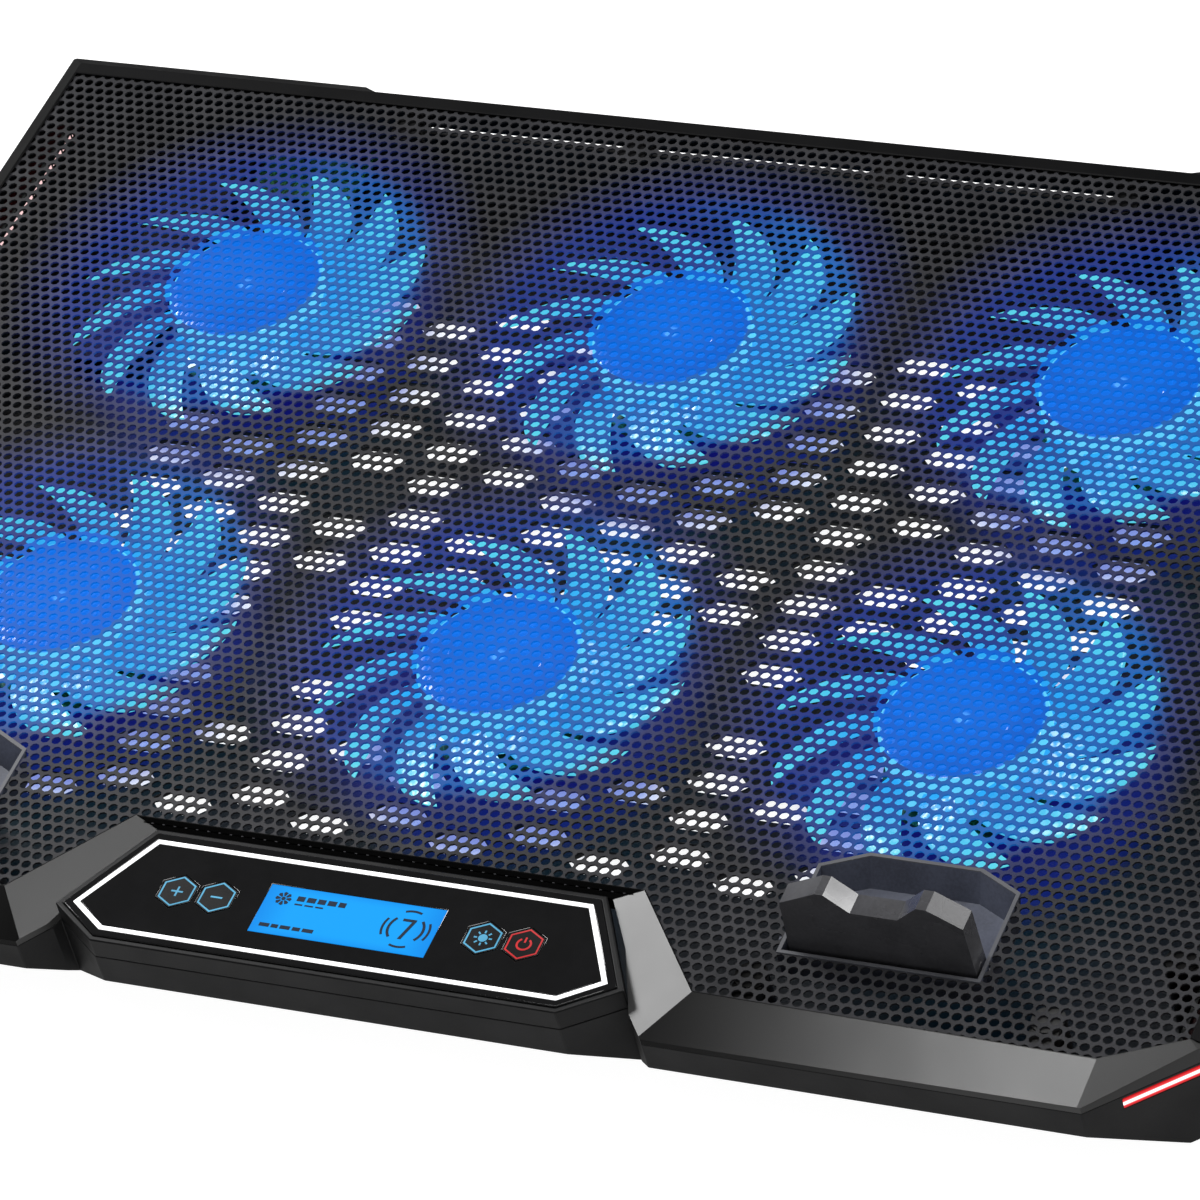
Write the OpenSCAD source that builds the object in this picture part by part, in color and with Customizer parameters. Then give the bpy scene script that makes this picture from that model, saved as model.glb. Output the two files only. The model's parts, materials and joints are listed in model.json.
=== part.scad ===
// Laptop cooling pad: six lit fans under a perforated deck, a control panel at the front,
// two fold-down stops, side light pipes and two fold-out rear legs.

/* [Body] */
// Width across the front corners
front_w = 420; // [400:1:520]
// Width across the back corners
back_w = 412; // [400:1:520]
// Depth from front edge to back edge
body_d = 302.5; // [300:0.5:370]
// Height of the deck's top face above the table
deck_z = 30; // [29:0.5:38]
// Height of the rubber feet
foot_h = 2; // [1.5:0.1:3]
// Thickness of the shell's walls
wall = 2.2; // [1.6:0.1:3]
// Thickness of the shell's floor
floor_t = 1.6; // [1.5:0.1:3]
// Depth of the joint between shell and deck frame, below the deck's top face
split_drop = 4.5; // [4:0.1:5.5]
// Width of the cut front corners, along X
corner_x = 23.3; // [15:0.1:30]
// Depth of the cut front corners, along Y
corner_y = 21.55; // [15:0.05:30]
// Width of the recessed middle of the back edge
back_step_w = 228; // [180:1:240]
// Depth of the recess in the back edge
back_step = 2.5; // [1:0.1:4]
// Height of the front face's lower edge, where the slanted chin starts
lip_z = 17.6; // [14:0.1:20]

/* [Deck] */
// Thickness of the perforated sheet
mesh_t = 0.6; // [0.5:0.1:1.2]
// Width of the rim at both sides
rim_w = 4.4; // [4:0.1:6]
// Width of the rim at the back
back_rim_w = 6.95; // [5:0.05:9]
// Height of the rim above the deck
rim_h = 0.6; // [0.4:0.1:1]
// How far the sheet reaches under the rim
mesh_tuck = 1.5; // [1:0.1:1.8]
// Drop of the rim's outer edge
rim_drop = 1.6; // [1:0.1:2]

/* [Front trim] */
// Height of the trim's front edge below the deck
trim_drop = 2.8; // [2:0.1:3]
// Width of the sloping band along the front edge
trim_band = 12.85; // [10:0.05:15]

/* [Control panel] */
// Half width of the panel's front edge
bay_front = 60; // [55:0.5:65]
// Half width between the panel's side tips
bay_tip = 73.5; // [70:0.5:74]
// Half width of the panel's rear edge
bay_rear = 58.5; // [52:0.5:60]
// Distance of the side tips behind the front edge
bay_tip_y = 10.05; // [9:0.05:12]
// Distance of the panel's rear edge behind the front edge
bay_rear_y = 37.05; // [34:0.05:38]
// Height of the panel's cover above the deck
panel_rise = 1.6; // [1:0.1:3]
// Thickness of the panel's cover
cover_t = 1.2; // [1:0.1:2]
// Width of the lit line around the panel
line_w = 1.2; // [1:0.1:2.5]
// Distance of the lit line from the housing's edge
line_inset = 3.4; // [2.5:0.1:4]
// Width of the display window
lcd_w = 45.4; // [36:0.1:48]
// Depth of the display window
lcd_d = 15; // [10:0.5:16]
// Width of a key across its flats
key_flat = 9; // [7:0.1:9.2]
// Spacing of the two keys of a pair
key_pitch = 10.4; // [10.2:0.1:11]
// Distance of each key pair from the panel's middle
key_pair_x = 39.7; // [39:0.1:40]
// Travel of a key
key_travel = 0.4; // [0.2:0.1:0.4]
// Gap around a key in its hole
key_gap = 0.15; // [0.1:0.05:0.2]

/* [Stops] */
// Distance of each stop's middle from the centre line
stop_x = 128.5; // [110:0.5:140]
// Width of a stop
stop_w = 46; // [36:0.5:48]
// Thickness of a stop
stop_t = 6; // [4:0.1:6.2]
// Height of a stop's peaks above the deck
stop_peak = 18.9; // [14:0.1:19]
// Height of a stop's shoulders above the deck
stop_low = 14.2; // [10:0.1:14.4]
// Width of a stop's tray
tray_w = 49.7; // [49:0.1:54]
// Depth of a stop's tray
tray_d = 33.5; // [33:0.1:36]
// Distance of the tray's front edge behind the body's front edge
tray_y = 28.85; // [28:0.05:32]
// Thickness of the tray's walls
tray_t = 0.9; // [0.8:0.1:1.2]
// Diameter of the stop's hinge pin
stop_pin_d = 2.4; // [2:0.1:3]

/* [Fans] */
// Spacing of the fans from left to right
fan_pitch_x = 120; // [112:0.5:130]
// Spacing of the fans from front to back
fan_pitch_y = 116; // [112:0.5:116]
// Distance of the back row of fans from the back edge
fan_back = 76.9; // [75:0.1:78]
// Diameter across the blade tips
fan_d = 95; // [78:0.5:95]
// Diameter of the hub
hub_d = 41; // [38:0.5:44]
// Number of blades on a rotor
blades = 12; // [7:1:13]
// Slant of the blades
blade_pitch = 38; // [30:1:45]
// Thickness of a blade
blade_t = 1.1; // [0.8:0.1:1.5]
// Diameter of a fan's shaft
shaft_d = 3; // [2:0.1:4]
// Radial running gap of a shaft or pin in its bore
run_gap = 0.05; // [0.02:0.01:0.1]
// Gap from the hub's top to the underside of the deck
hub_gap = 1.5; // [1:0.1:2]

/* [Floor slots] */
// Length of a floor slot
slot_l = 16.8; // [10:0.1:17]
// Width of a floor slot
slot_w = 7.8; // [4:0.1:8]
// Spacing of the slot columns
slot_pitch_x = 18.6; // [17.5:0.1:22]
// Spacing of the slots in a column
slot_pitch_y = 12.28; // [10:0.01:12.4]
// Distance of the last slot row from the back edge
slot_back = 54.6; // [50:0.1:60]

/* [Lights] */
// Height of a side light pipe
pipe_h = 3; // [2:0.1:3.5]
// Depth of a side light pipe, from the wall's face inwards
pipe_depth = 8; // [5:0.1:8]
// Distance of the pipe's top below the deck
pipe_drop = 5.5; // [5.5:0.1:7]
// Distance of the pipe's rear end from the back edge
pipe_back = 21; // [15:0.5:40]
// Thickness of every circuit board
board_t = 1.6; // [1:0.1:2]

/* [Rear legs] */
// Distance of each leg from the centre line
leg_x = 160; // [158:0.5:166]
// Length of a leg from its pin to its end
leg_l = 68; // [40:1:75]
// Width of a leg
leg_w = 14; // [10:0.5:16]
// Thickness of a leg
leg_t = 5; // [4:0.1:5.4]
// Length of the leg's rubber tip
leg_tip_l = 6; // [4:0.5:8]
// Diameter of a leg's pin
leg_pin_d = 3; // [2:0.1:3.4]

/* [Sockets and fasteners] */
// Width of a socket's shell
usb_w = 13.1; // [12:0.1:13.2]
// Height of a socket's shell
usb_h = 5.7; // [5:0.1:6]
// Depth of a socket's shell
usb_d = 14; // [10:0.5:15]
// Thread diameter of the case screws
screw_d = 2.9; // [2.5:0.1:3.2]
// Diameter of a case screw's head
screw_head_d = 5.6; // [5:0.1:6]
// Diameter of a rubber foot
foot_d = 16; // [10:0.5:18]

/* [Hidden] */
$fn = 48;
cut = 0.5;              // overshoot of cutting shapes
touch = 0.01;           // bite that joins two shapes of one piece
black = [0.06, 0.06, 0.065];
graphite = [0.14, 0.14, 0.145];
satin_grey = [0.42, 0.42, 0.43];
glass_blue = [0.1, 0.65, 1];
lit_white = [0.96, 0.97, 1];
lit_red = [0.95, 0.1, 0.12];
fan_blue = [0.25, 0.7, 0.95, 0.6];
board_green = [0.1, 0.3, 0.16];
steel = [0.6, 0.61, 0.63];
brass = [0.72, 0.58, 0.3];

front_y = -body_d / 2;
rear_y = body_d / 2;
split_z = deck_z - split_drop;
mesh_z = deck_z - mesh_t;
top_z = deck_z + rim_h;
floor_z = foot_h + floor_t;
bay_gap = 0.55;         // set-back of the panel's front face
notch_x = 80.5;         // half width of the gap in the front band
notch_in = 74.5;        // half width where the notch is deepest
notch_y = 7.25;         // depth of the notch

// Outline of the body seen from above, anticlockwise from the front left of the panel
half_front = [
    [bay_front, front_y + bay_gap],
    [bay_tip, front_y + bay_tip_y],
    [notch_in, front_y + notch_y],
    [notch_x, front_y],
    [front_w / 2 - corner_x, front_y],
    [front_w / 2, front_y + corner_y],
    [back_w / 2, rear_y],
    [back_step_w / 2 + 4, rear_y],
    [back_step_w / 2, rear_y - back_step],
];
outline = both_sides(half_front);

// Edge of the perforated deck that shows inside the rim
bezel_half = [
    [66.5, front_y + 41.05],
    [89, front_y + trim_band + 0.7],
    [front_w / 2 - corner_x + 0.3, front_y + trim_band - 0.7],
    [front_w / 2 - rim_w, front_y + corner_y],
    [back_w / 2 - rim_w, rear_y - back_rim_w],
];
bezel = both_sides(bezel_half);

trim_end = [59, front_y + 38.25];  // where each side of the trim meets the strip behind the panel
trim_diagonal = 15.15;  // width of the facet beside the panel
trim_corner = 10.9;     // width of the facet at the cut corner
trim_bridge_slope = 0.607;  // fall of the strip behind the panel
trim_side_edge = [[67.5, front_y + 24.55], [75, front_y + 6.75]];  // along the panel's side
rim_flat = 0.3;         // narrow level strip along the deck's edge

panel_half = [
    [bay_front, front_y + bay_gap],
    [bay_tip, front_y + bay_tip_y],
    [bay_rear, front_y + bay_rear_y],
];
panel = both_sides(panel_half);

// Control panel heights
cover_z = deck_z + panel_rise;
cover_low = cover_z - cover_t;
panel_board_z = 20;
board_post_r = 2.5;
board_screw_r = 1;
board_screw_l = 6;
board_head = [1.9, 1.3];  // radius and height of a board screw's head
switch_h = 3.5;
plunger_top = 27.4;
key_low = plunger_top + key_travel + 0.1;
key_y = front_y + 18.75;
lcd_y = front_y + 17.85;
lug_r = 3.5;
panel_lugs = [[bay_rear - 5.5, bay_rear_y - 5.5], [bay_front + 4, bay_tip_y + 0.95]];
board_posts = [[42, 29.25], [42, 11.25]];
board_half_w = 47;
board_y = [8.25, 32.25];

// Fan heights
fan_top = mesh_z - hub_gap;
hub_h = 13.5;
hub_low = fan_top - hub_h;
hub_skin = 1.5;
blade_low = hub_low - 0.4;
blade_top = fan_top - 0.7;
post_r = 5;
foot_post_r = 6.5;
bush_r = 3.4;
bush_top = 21.5;
fan_board_z = 9.6;
fan_board_r = 22;
stator_r = 15.8;
magnet_in = stator_r + 0.6;
magnet_out = hub_d / 2 - 1.7;
stator_low = fan_board_z + board_t;
stator_h = 8;
motor_clear = 25;       // no floor slot within this distance of a motor
fan_rows = [rear_y - fan_back, rear_y - fan_back - fan_pitch_y];

// Stops and trays
stop_axis_y = front_y + tray_y + 2.75 + stop_t / 2;
stop_axis_z = deck_z - stop_t / 2;
tray_floor_z = deck_z - stop_t - 0.4;
tray_lip = 0.3;
tray_slope = 4.1;
tray_cut = [11, 5.5];
tray_ear_r = mesh_z - stop_axis_z - 0.1;
tray_ear = [tray_w / 2 - 1, tray_w / 2 + 1.4];
stop_profile = [         // upper edge of a stop, from the right, heights above the deck
    [stop_w / 2 - 0.7, stop_low], [14.2, stop_peak], [11.7, stop_peak],
    [6.4, stop_low - 0.1], [-5.1, stop_low - 0.1],
    [-10.8, stop_peak], [-12.8, stop_peak], [0.7 - stop_w / 2, stop_low],
];
pin_reach = stop_w / 2 + 1.9;

// Case screws: places along the body's edges, the front pair from the front edge
side_screw_in = 14;
side_screws = [rear_y - 90, rear_y - 175, front_y + 45];
back_screws = [100, 35];
back_screw_in = 15;
trim_screws = [100, 172];
trim_screw_y = 22;
boss_r = 4;
boss_split = 16;
tab_w = 7;              // width of the tabs that carry the upper bosses
head_h = 2.4;
head_recess = 3;
screw_end = 24;
vent_x = 100;           // half width of the slot in the rear wall
vent_z = [19, 21.5];    // its lower and upper edge

// Rear legs
leg_axis_y = rear_y - 16.25;
leg_axis_z = foot_h + 3.5;
pocket_gap = 1;
pocket_wall = 1.6;
pocket_behind = 4.5;    // space behind a leg's axis
pocket_top = leg_axis_z + leg_t / 2 + 0.8;

// Sockets
usb_x = [-126, -141];
usb_board_z = floor_z + 3.4;
usb_z = usb_board_z + board_t;
usb_wall = 0.3;
usb_board_x = [-148.5, -118.5];
usb_board_l = 20;

foot_places = [
    [180, front_y + 36], [-180, front_y + 36], [180, rear_y - 22], [-180, rear_y - 22],
    [0, front_y + 47], [0, rear_y - 16],
];

// A right-hand half outline, front to back, joined with its mirror image
function both_sides(half) = concat(
    half, [for (i = [len(half) - 1:-1:0]) [-half[i].x, half[i].y]]
);

function inward(a, b) = let (d = (b - a) / norm(b - a)) [-d.y, d.x];

// An anticlockwise outline moved inwards by d, with sharp corners
function inset(pts, d) = let (n = len(pts)) [
    for (i = [0:n - 1])
        let (
            u = inward(pts[(i + n - 1) % n], pts[i]),
            v = inward(pts[i], pts[(i + 1) % n])
        )
        pts[i] + d * (u + v) / (1 + u * v)
];

module plate(pts, low, high) {
    translate([0, 0, low])
        linear_extrude(high - low)
            polygon(pts);
}

module rod(r, low, high) {
    translate([0, 0, low])
        cylinder(r = r, h = high - low);
}

module ring(r_out, r_in, low, high) {
    difference() {
        rod(r_out, low, high);
        rod(r_in, low - cut, high + cut);
    }
}

module block(x, y, z) {
    translate([x[0], y[0], z[0]])
        cube([x[1] - x[0], y[1] - y[0], z[1] - z[0]]);
}

module both() {
    children();
    mirror([1, 0, 0])
        children();
}

// Space below the slanted chin, moved inwards by d
module chin(d = 0) {
    c = front_y + lip_z + d * sqrt(2);
    translate([-front_w, 0, 0])
        rotate([90, 0, 90])
            linear_extrude(2 * front_w)
                polygon([[c + 10, -10], [front_y - 10, c - front_y + 10], [front_y - 10, -10]]);
}

module shell_block(d, low, high) {
    difference() {
        plate(inset(outline, d), low, high);
        chin(d);
    }
}

module slot_shape() {
    tip = slot_l / 2;
    flat = tip - slot_w / 2;
    polygon([
        [-tip, 0], [-flat, -slot_w / 2], [flat, -slot_w / 2],
        [tip, 0], [flat, slot_w / 2], [-flat, slot_w / 2],
    ]);
}

// Rows left solid for ribs and wiring, counted from the back
odd_blank_rows = [10];
even_blank_rows = [8, 9, 10, 11, 13];
inner_blank_row = 5;

function is_in(v, list) = len([for (e = list) if (e == v) 1]) > 0;
function is_odd(i) = abs(i) % 2 == 1;
function slot_y(i, k) = rear_y - slot_back - slot_pitch_y * (is_odd(i) ? k : k + 0.5);
function near_motor(p) = len([
    for (col = [-1:1], y = fan_rows)
        if (norm(p - [col * fan_pitch_x, y]) < motor_clear) 1
]) > 0;
function slot_open(i, k) =
    !near_motor([i * slot_pitch_x, slot_y(i, k)])
    && (is_odd(i)
        ? !is_in(k, odd_blank_rows)
        : !is_in(k, even_blank_rows) && !(k == inner_blank_row && (abs(i) == 2 || abs(i) == 4)));

module floor_slots() {
    for (i = [-7:7], k = [0:14])
        if (slot_open(i, k))
            translate([i * slot_pitch_x, slot_y(i, k)])
                slot_shape();
}

module at_fans() {
    for (col = [-1:1], y = fan_rows)
        translate([col * fan_pitch_x, y, 0])
            children();
}

module fan_at(col, row) {
    translate([col * fan_pitch_x, fan_rows[row], 0])
        children();
}

function side_edge(y) =
    front_w / 2 + (back_w - front_w) / 2 * (y - front_y - corner_y) / (body_d - corner_y);

module at_frame_screws() {
    both() {
        for (y = side_screws)
            translate([side_edge(y) - side_screw_in, y, 0])
                children();
        for (x = back_screws)
            translate([x, rear_y - back_screw_in, 0])
                children();
    }
}

module at_trim_screws() {
    both()
        for (x = trim_screws)
            translate([x, front_y + trim_screw_y, 0])
                children();
}

module at_panel_screws() {
    both()
        translate([panel_lugs[0].x, front_y + panel_lugs[0].y, 0])
            children();
}

module at_board_screws() {
    both()
        for (p = board_posts)
            translate([p.x, front_y + p.y, 0])
                children();
}

module screw_passage() {
    rod(screw_d / 2 + run_gap, foot_h - cut, deck_z);
    rod(screw_head_d / 2 + 0.2, foot_h - cut, foot_h + head_recess);
}

// Top view of a side light pipe: a strip inside the body's edge
module pipe_plan(d_out, d_in) {
    start = [front_w / 2 - corner_x + 7.1, front_y];
    difference() {
        intersection() {
            polygon(inset(outline, d_out));
            translate([start.x, front_y - 1])
                square([front_w, rear_y - pipe_back - front_y + 1]);
        }
        polygon(inset(outline, d_in));
    }
}

module pipe_at(d_out, d_in, grow = 0) {
    translate([0, 0, deck_z - pipe_drop - pipe_h - grow])
        linear_extrude(pipe_h + 2 * grow)
            pipe_plan(d_out, d_in);
}

module leg_pocket_block() {
    block(
        [leg_x - leg_w / 2 - pocket_gap - pocket_wall, leg_x + leg_w / 2 + pocket_gap + pocket_wall],
        [leg_axis_y - leg_l - leg_tip_l - pocket_gap - pocket_wall, leg_axis_y + pocket_behind + pocket_wall],
        [foot_h, pocket_top + pocket_wall]
    );
}

module leg_pocket_space() {
    block(
        [leg_x - leg_w / 2 - pocket_gap, leg_x + leg_w / 2 + pocket_gap],
        [leg_axis_y - leg_l - leg_tip_l - pocket_gap, leg_axis_y + pocket_behind],
        [foot_h - cut, pocket_top]
    );
}

module across(r, x) {
    translate([x[0], 0, 0])
        rotate([0, 90, 0])
            cylinder(r = r, h = x[1] - x[0]);
}

module bottom_shell() {
    color(black)
    difference() {
        union() {
            difference() {
                shell_block(0, foot_h, split_z);
                shell_block(wall, floor_z, split_z + cut);
            }
            intersection() {
                union() {
                    at_fans() {
                        rod(foot_post_r, foot_h, fan_board_z);
                        rod(post_r, foot_h, bush_top - 0.5);
                    }
                    at_frame_screws()
                        rod(boss_r, foot_h, boss_split);
                    at_trim_screws()
                        rod(boss_r, foot_h, boss_split);
                    both()
                        for (p = panel_lugs)
                            translate([p.x, front_y + p.y, 0])
                                rod(lug_r, foot_h, boss_split);
                    at_board_screws()
                        rod(board_post_r, foot_h, panel_board_z);
                }
                shell_block(wall / 2, foot_h, split_z);
            }
            both()
                leg_pocket_block();
            block(usb_board_x, [rear_y - wall - usb_board_l + 2, rear_y - wall - 2],
                [floor_z - cut, usb_board_z]);
        }
        translate([0, 0, foot_h - cut])
            linear_extrude(floor_t + 2 * cut)
                floor_slots();
        at_fans()
            rod(bush_r, floor_z, bush_top);
        at_frame_screws()
            screw_passage();
        at_trim_screws()
            screw_passage();
        at_panel_screws()
            screw_passage();
        at_board_screws()
            rod(board_screw_r, panel_board_z - board_screw_l, panel_board_z + cut);
        both() {
            leg_pocket_space();
            translate([0, leg_axis_y, leg_axis_z])
                across(leg_pin_d / 2, [leg_x - leg_w / 2 - 2, leg_x + leg_w / 2 + 2]);
            pipe_at(-1, pipe_depth + 1);
        }
        block([-vent_x, vent_x], [rear_y - back_step - wall - cut, rear_y], vent_z);
        for (x = usb_x)
            block([x - usb_w / 2 - key_gap, x + usb_w / 2 + key_gap],
                [rear_y - wall - cut, rear_y + cut], [usb_z - 0.1, usb_z + usb_h + key_gap]);
    }
}

// Bevels the outer top edge of the rim between two outline points
module rim_bevel(a, b, w, drop) {
    run = b - a;
    translate([a.x, a.y, top_z])
        rotate([0, 0, atan2(run.y, run.x)])
            translate([-10, 0, 0])
                rotate([90, 0, 90])
                    linear_extrude(norm(run) + 20)
                        polygon([[w, 0], [w, 1], [-1, 1], [-1, -drop - drop / w]]);
}

module screw_boss(low, high) {
    rod(boss_r, low, high);
}

module top_frame() {
    side = [[front_w / 2, front_y + corner_y], [back_w / 2, rear_y]];
    color(black)
    difference() {
        union() {
            difference() {
                plate(outline, split_z, top_z);
                plate(bezel, split_z - cut, top_z + cut);
                both()
                    rim_bevel(side[0], side[1], rim_w - rim_flat, rim_drop);
                rim_bevel([back_w / 2, rear_y], [-back_w / 2, rear_y], 3, 1.2);
            }
            at_frame_screws()
                screw_boss(boss_split, mesh_z);
            both() {
                for (y = side_screws)
                    block([side_edge(y) - side_screw_in, side_edge(y) - rim_w + 1],
                        [y - tab_w / 2, y + tab_w / 2], [split_z, mesh_z - 0.5]);
                for (x = back_screws)
                    block([x - tab_w / 2, x + tab_w / 2],
                        [rear_y - back_screw_in, rear_y - back_rim_w + 1], [split_z, mesh_z - 0.5]);
            }
        }
        plate(inset(bezel, -mesh_tuck), mesh_z, deck_z);
        block([-front_w, front_w], [front_y - cut, front_y + corner_y], [0, 2 * deck_z]);
        block([-bezel_half[1].x, bezel_half[1].x], [front_y, bezel_half[0].y + cut], [0, 2 * deck_z]);
        at_frame_screws()
            rod(screw_d / 2 + run_gap, boss_split - cut, screw_end + 1);
    }
}

// Space above a plane that meets a-b at the rim's top and falls away on its right-hand side
module slope_above(a, b, slope) {
    run = b - a;
    reach = 60;
    translate([a.x, a.y, top_z])
        rotate([0, 0, atan2(run.y, run.x)])
            translate([-front_w, 0, 0])
                rotate([90, 0, 90])
                    linear_extrude(2 * front_w)
                        polygon([[-rim_flat, 0], [-rim_flat, 5], [-reach, 5], [-reach, -reach * slope]]);
}

module trim_side() {
    drop = rim_h + trim_drop;
    inner = [bezel_half[0], bezel_half[1], bezel_half[2], bezel_half[3]];
    difference() {
        plate(concat([trim_end], trim_side_edge, [
            [notch_x, front_y],
            [front_w / 2 - corner_x, front_y], [front_w / 2, front_y + corner_y],
        ], [for (i = [3:-1:0]) inner[i]]), split_z, top_z);
        slope_above(inner[0], inner[1], drop / trim_diagonal);
        slope_above(inner[1], inner[2], drop / trim_band);
        slope_above(inner[2], inner[3], drop / trim_corner);
        rim_bevel([front_w / 2, front_y + corner_y], [back_w / 2, rear_y], rim_w - rim_flat, rim_drop);
    }
}

module trim_bridge() {
    difference() {
        plate([
            [-trim_end.x, trim_end.y], trim_end,
            bezel_half[0], [-bezel_half[0].x, bezel_half[0].y],
        ], split_z, top_z);
        slope_above([-bezel_half[0].x, bezel_half[0].y], bezel_half[0], trim_bridge_slope);
    }
}

module front_trim() {
    color(satin_grey)
    difference() {
        union() {
            both()
                trim_side();
            trim_bridge();
            at_trim_screws()
                screw_boss(boss_split, mesh_z);
            both()
                for (x = trim_screws)
                    block([x - tab_w / 2, x + tab_w / 2],
                        [front_y + trim_band - 3, front_y + trim_screw_y],
                        [split_z + 0.4, mesh_z - 0.5]);
        }
        plate(inset(bezel, -mesh_tuck), mesh_z, deck_z);
        at_trim_screws()
            rod(screw_d / 2 + run_gap, boss_split - cut, screw_end + 1);
    }
}

// Outline of a stop's tray, d inside its rim; slope moves the back edges further in
function tray_plan(d, slope) =
    let (
        x = tray_w / 2 - d, y0 = front_y + tray_y + d, y1 = front_y + tray_y + tray_d - d - slope,
        cx = tray_cut.x - d * 0.6, cy = tray_cut.y - d * 0.3
    )
    [[-x, y0], [x, y0], [x, y1 - cy], [x - cx, y1], [-x + cx, y1], [-x, y1 - cy]];

module mesh_panel() {
    color(graphite)
    difference() {
        plate(inset(bezel, -mesh_tuck), mesh_z, deck_z);
        both()
            translate([stop_x, 0, 0])
                plate(tray_plan(0, 0), mesh_z - cut, deck_z + cut);
    }
}

module tray_funnel(d, low, high) {
    hull() {
        plate(tray_plan(d, 0), high - touch, high);
        plate(tray_plan(d, tray_slope), low, low + touch);
    }
}

module stop_tray(side) {
    color(graphite)
    translate([side * stop_x, 0, 0])
    difference() {
        union() {
            tray_funnel(0, tray_floor_z - 1.2, deck_z + tray_lip);
            for (s = [-1, 1])
                translate([0, stop_axis_y, stop_axis_z])
                    across(tray_ear_r, s > 0 ? tray_ear : [-tray_ear[1], -tray_ear[0]]);
        }
        tray_funnel(tray_t, tray_floor_z, deck_z + tray_lip + touch);
        translate([0, stop_axis_y, stop_axis_z])
            across(stop_pin_d / 2, [-pin_reach, pin_reach]);
    }
}

module stop(side) {
    h = deck_z - stop_axis_z;
    color(graphite)
    translate([side * stop_x, stop_axis_y, stop_axis_z])
    difference() {
        union() {
            translate([0, stop_t / 2, 0])
                rotate([90, 0, 0])
                    linear_extrude(stop_t)
                        polygon(concat(
                            [[-stop_w / 2, 0], [stop_w / 2, 0]],
                            [for (p = stop_profile) [p.x, h + p.y]]
                        ));
            across(stop_t / 2, [-stop_w / 2, stop_w / 2]);
        }
        across(stop_pin_d / 2 + run_gap, [-stop_w, stop_w]);
    }
}

module stop_pin(side) {
    color(steel)
    translate([side * stop_x, stop_axis_y, stop_axis_z])
        across(stop_pin_d / 2, [-pin_reach, pin_reach]);
}

module control_housing() {
    color(black)
    difference() {
        union() {
            plate(panel, split_z, cover_z - 0.4);
            both()
                for (p = panel_lugs)
                    translate([p.x, front_y + p.y, 0])
                        rod(lug_r, boss_split, cover_low);
        }
        plate(inset(panel, 1.5), cover_low, cover_z);
        difference() {
            plate(inset(panel, 3.5), split_z - cut, cover_low + touch);
            both()
                for (p = panel_lugs)
                    translate([p.x, front_y + p.y, 0])
                        rod(lug_r, boss_split, cover_low);
        }
        at_panel_screws()
            rod(screw_d / 2 + run_gap, boss_split - cut, screw_end + 1);
    }
}

module key_shape(grow) {
    rotate([0, 0, 30])
        circle(r = (key_flat / 2 + grow) / cos(30), $fn = 6);
}

module at_key(side, slot) {
    translate([side * key_pair_x + slot * key_pitch / 2, key_y, 0])
        children();
}

module control_cover() {
    color(black)
    difference() {
        plate(inset(panel, 1.5), cover_low, cover_z);
        lit_ring(cover_z - 0.6, cover_z + cut);
        translate([-lcd_w / 2, lcd_y - lcd_d / 2, cover_low - cut])
            cube([lcd_w, lcd_d, cover_t + 2 * cut]);
        for (side = [-1, 1], slot = [-1, 1])
            at_key(side, slot)
                translate([0, 0, cover_low - cut])
                    linear_extrude(cover_t + 2 * cut)
                        key_shape(key_gap);
    }
}

module lit_ring(low, high) {
    difference() {
        plate(inset(panel, line_inset), low, high);
        plate(inset(panel, line_inset + line_w), low - cut, high + cut);
    }
}

module light_line() {
    color(lit_white)
        lit_ring(cover_z - 0.6, cover_z);
}

module lcd_glass() {
    color(glass_blue)
    translate([0, lcd_y, 0]) {
        block([-lcd_w / 2, lcd_w / 2], [-lcd_d / 2, lcd_d / 2], [cover_low - touch, cover_z]);
        block([-lcd_w / 2 - 2, lcd_w / 2 + 2], [-lcd_d / 2 - 1.5, lcd_d / 2 + 1.5],
            [cover_low - 2, cover_low]);
    }
}

module lcd_backlight() {
    color(lit_white)
    translate([0, lcd_y, 0])
        block([-lcd_w / 2 - 2, lcd_w / 2 + 2], [-lcd_d / 2 - 1.5, lcd_d / 2 + 1.5],
            [panel_board_z + board_t, cover_low - 2]);
}

module control_board() {
    color(board_green)
    difference() {
        block([-board_half_w, board_half_w], [front_y + board_y[0], front_y + board_y[1]],
            [panel_board_z, panel_board_z + board_t]);
        at_board_screws()
            rod(board_screw_r + 0.1, panel_board_z - cut, panel_board_z + board_t + cut);
    }
}

module key_switches() {
    color(steel)
    for (side = [-1, 1], slot = [-1, 1])
        at_key(side, slot) {
            block([-3, 3], [-3, 3], [panel_board_z + board_t, panel_board_z + board_t + switch_h]);
            rod(1.7, panel_board_z + board_t + switch_h - touch, plunger_top);
        }
}

module key(side, slot, lit) {
    color(lit)
    at_key(side, slot) {
        translate([0, 0, cover_low - 0.1 - touch])
            linear_extrude(cover_z - cover_low + 0.1 + touch)
                key_shape(0);
        translate([0, 0, cover_low - 1.1])
            linear_extrude(1)
                key_shape(0.35);
        rod(1.8, key_low, cover_low - 1);
    }
}

module side_light(side) {
    color(lit_red)
    mirror([side < 0 ? 1 : 0, 0, 0])
        pipe_at(0, pipe_depth);
}

module side_led_board(side) {
    color(board_green)
    mirror([side < 0 ? 1 : 0, 0, 0])
        intersection() {
            pipe_at(pipe_depth, pipe_depth + 1, 1);
            block([0, front_w], [front_y + corner_y + 2, rear_y - pipe_back - 2], [0, deck_z]);
        }
}

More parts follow.
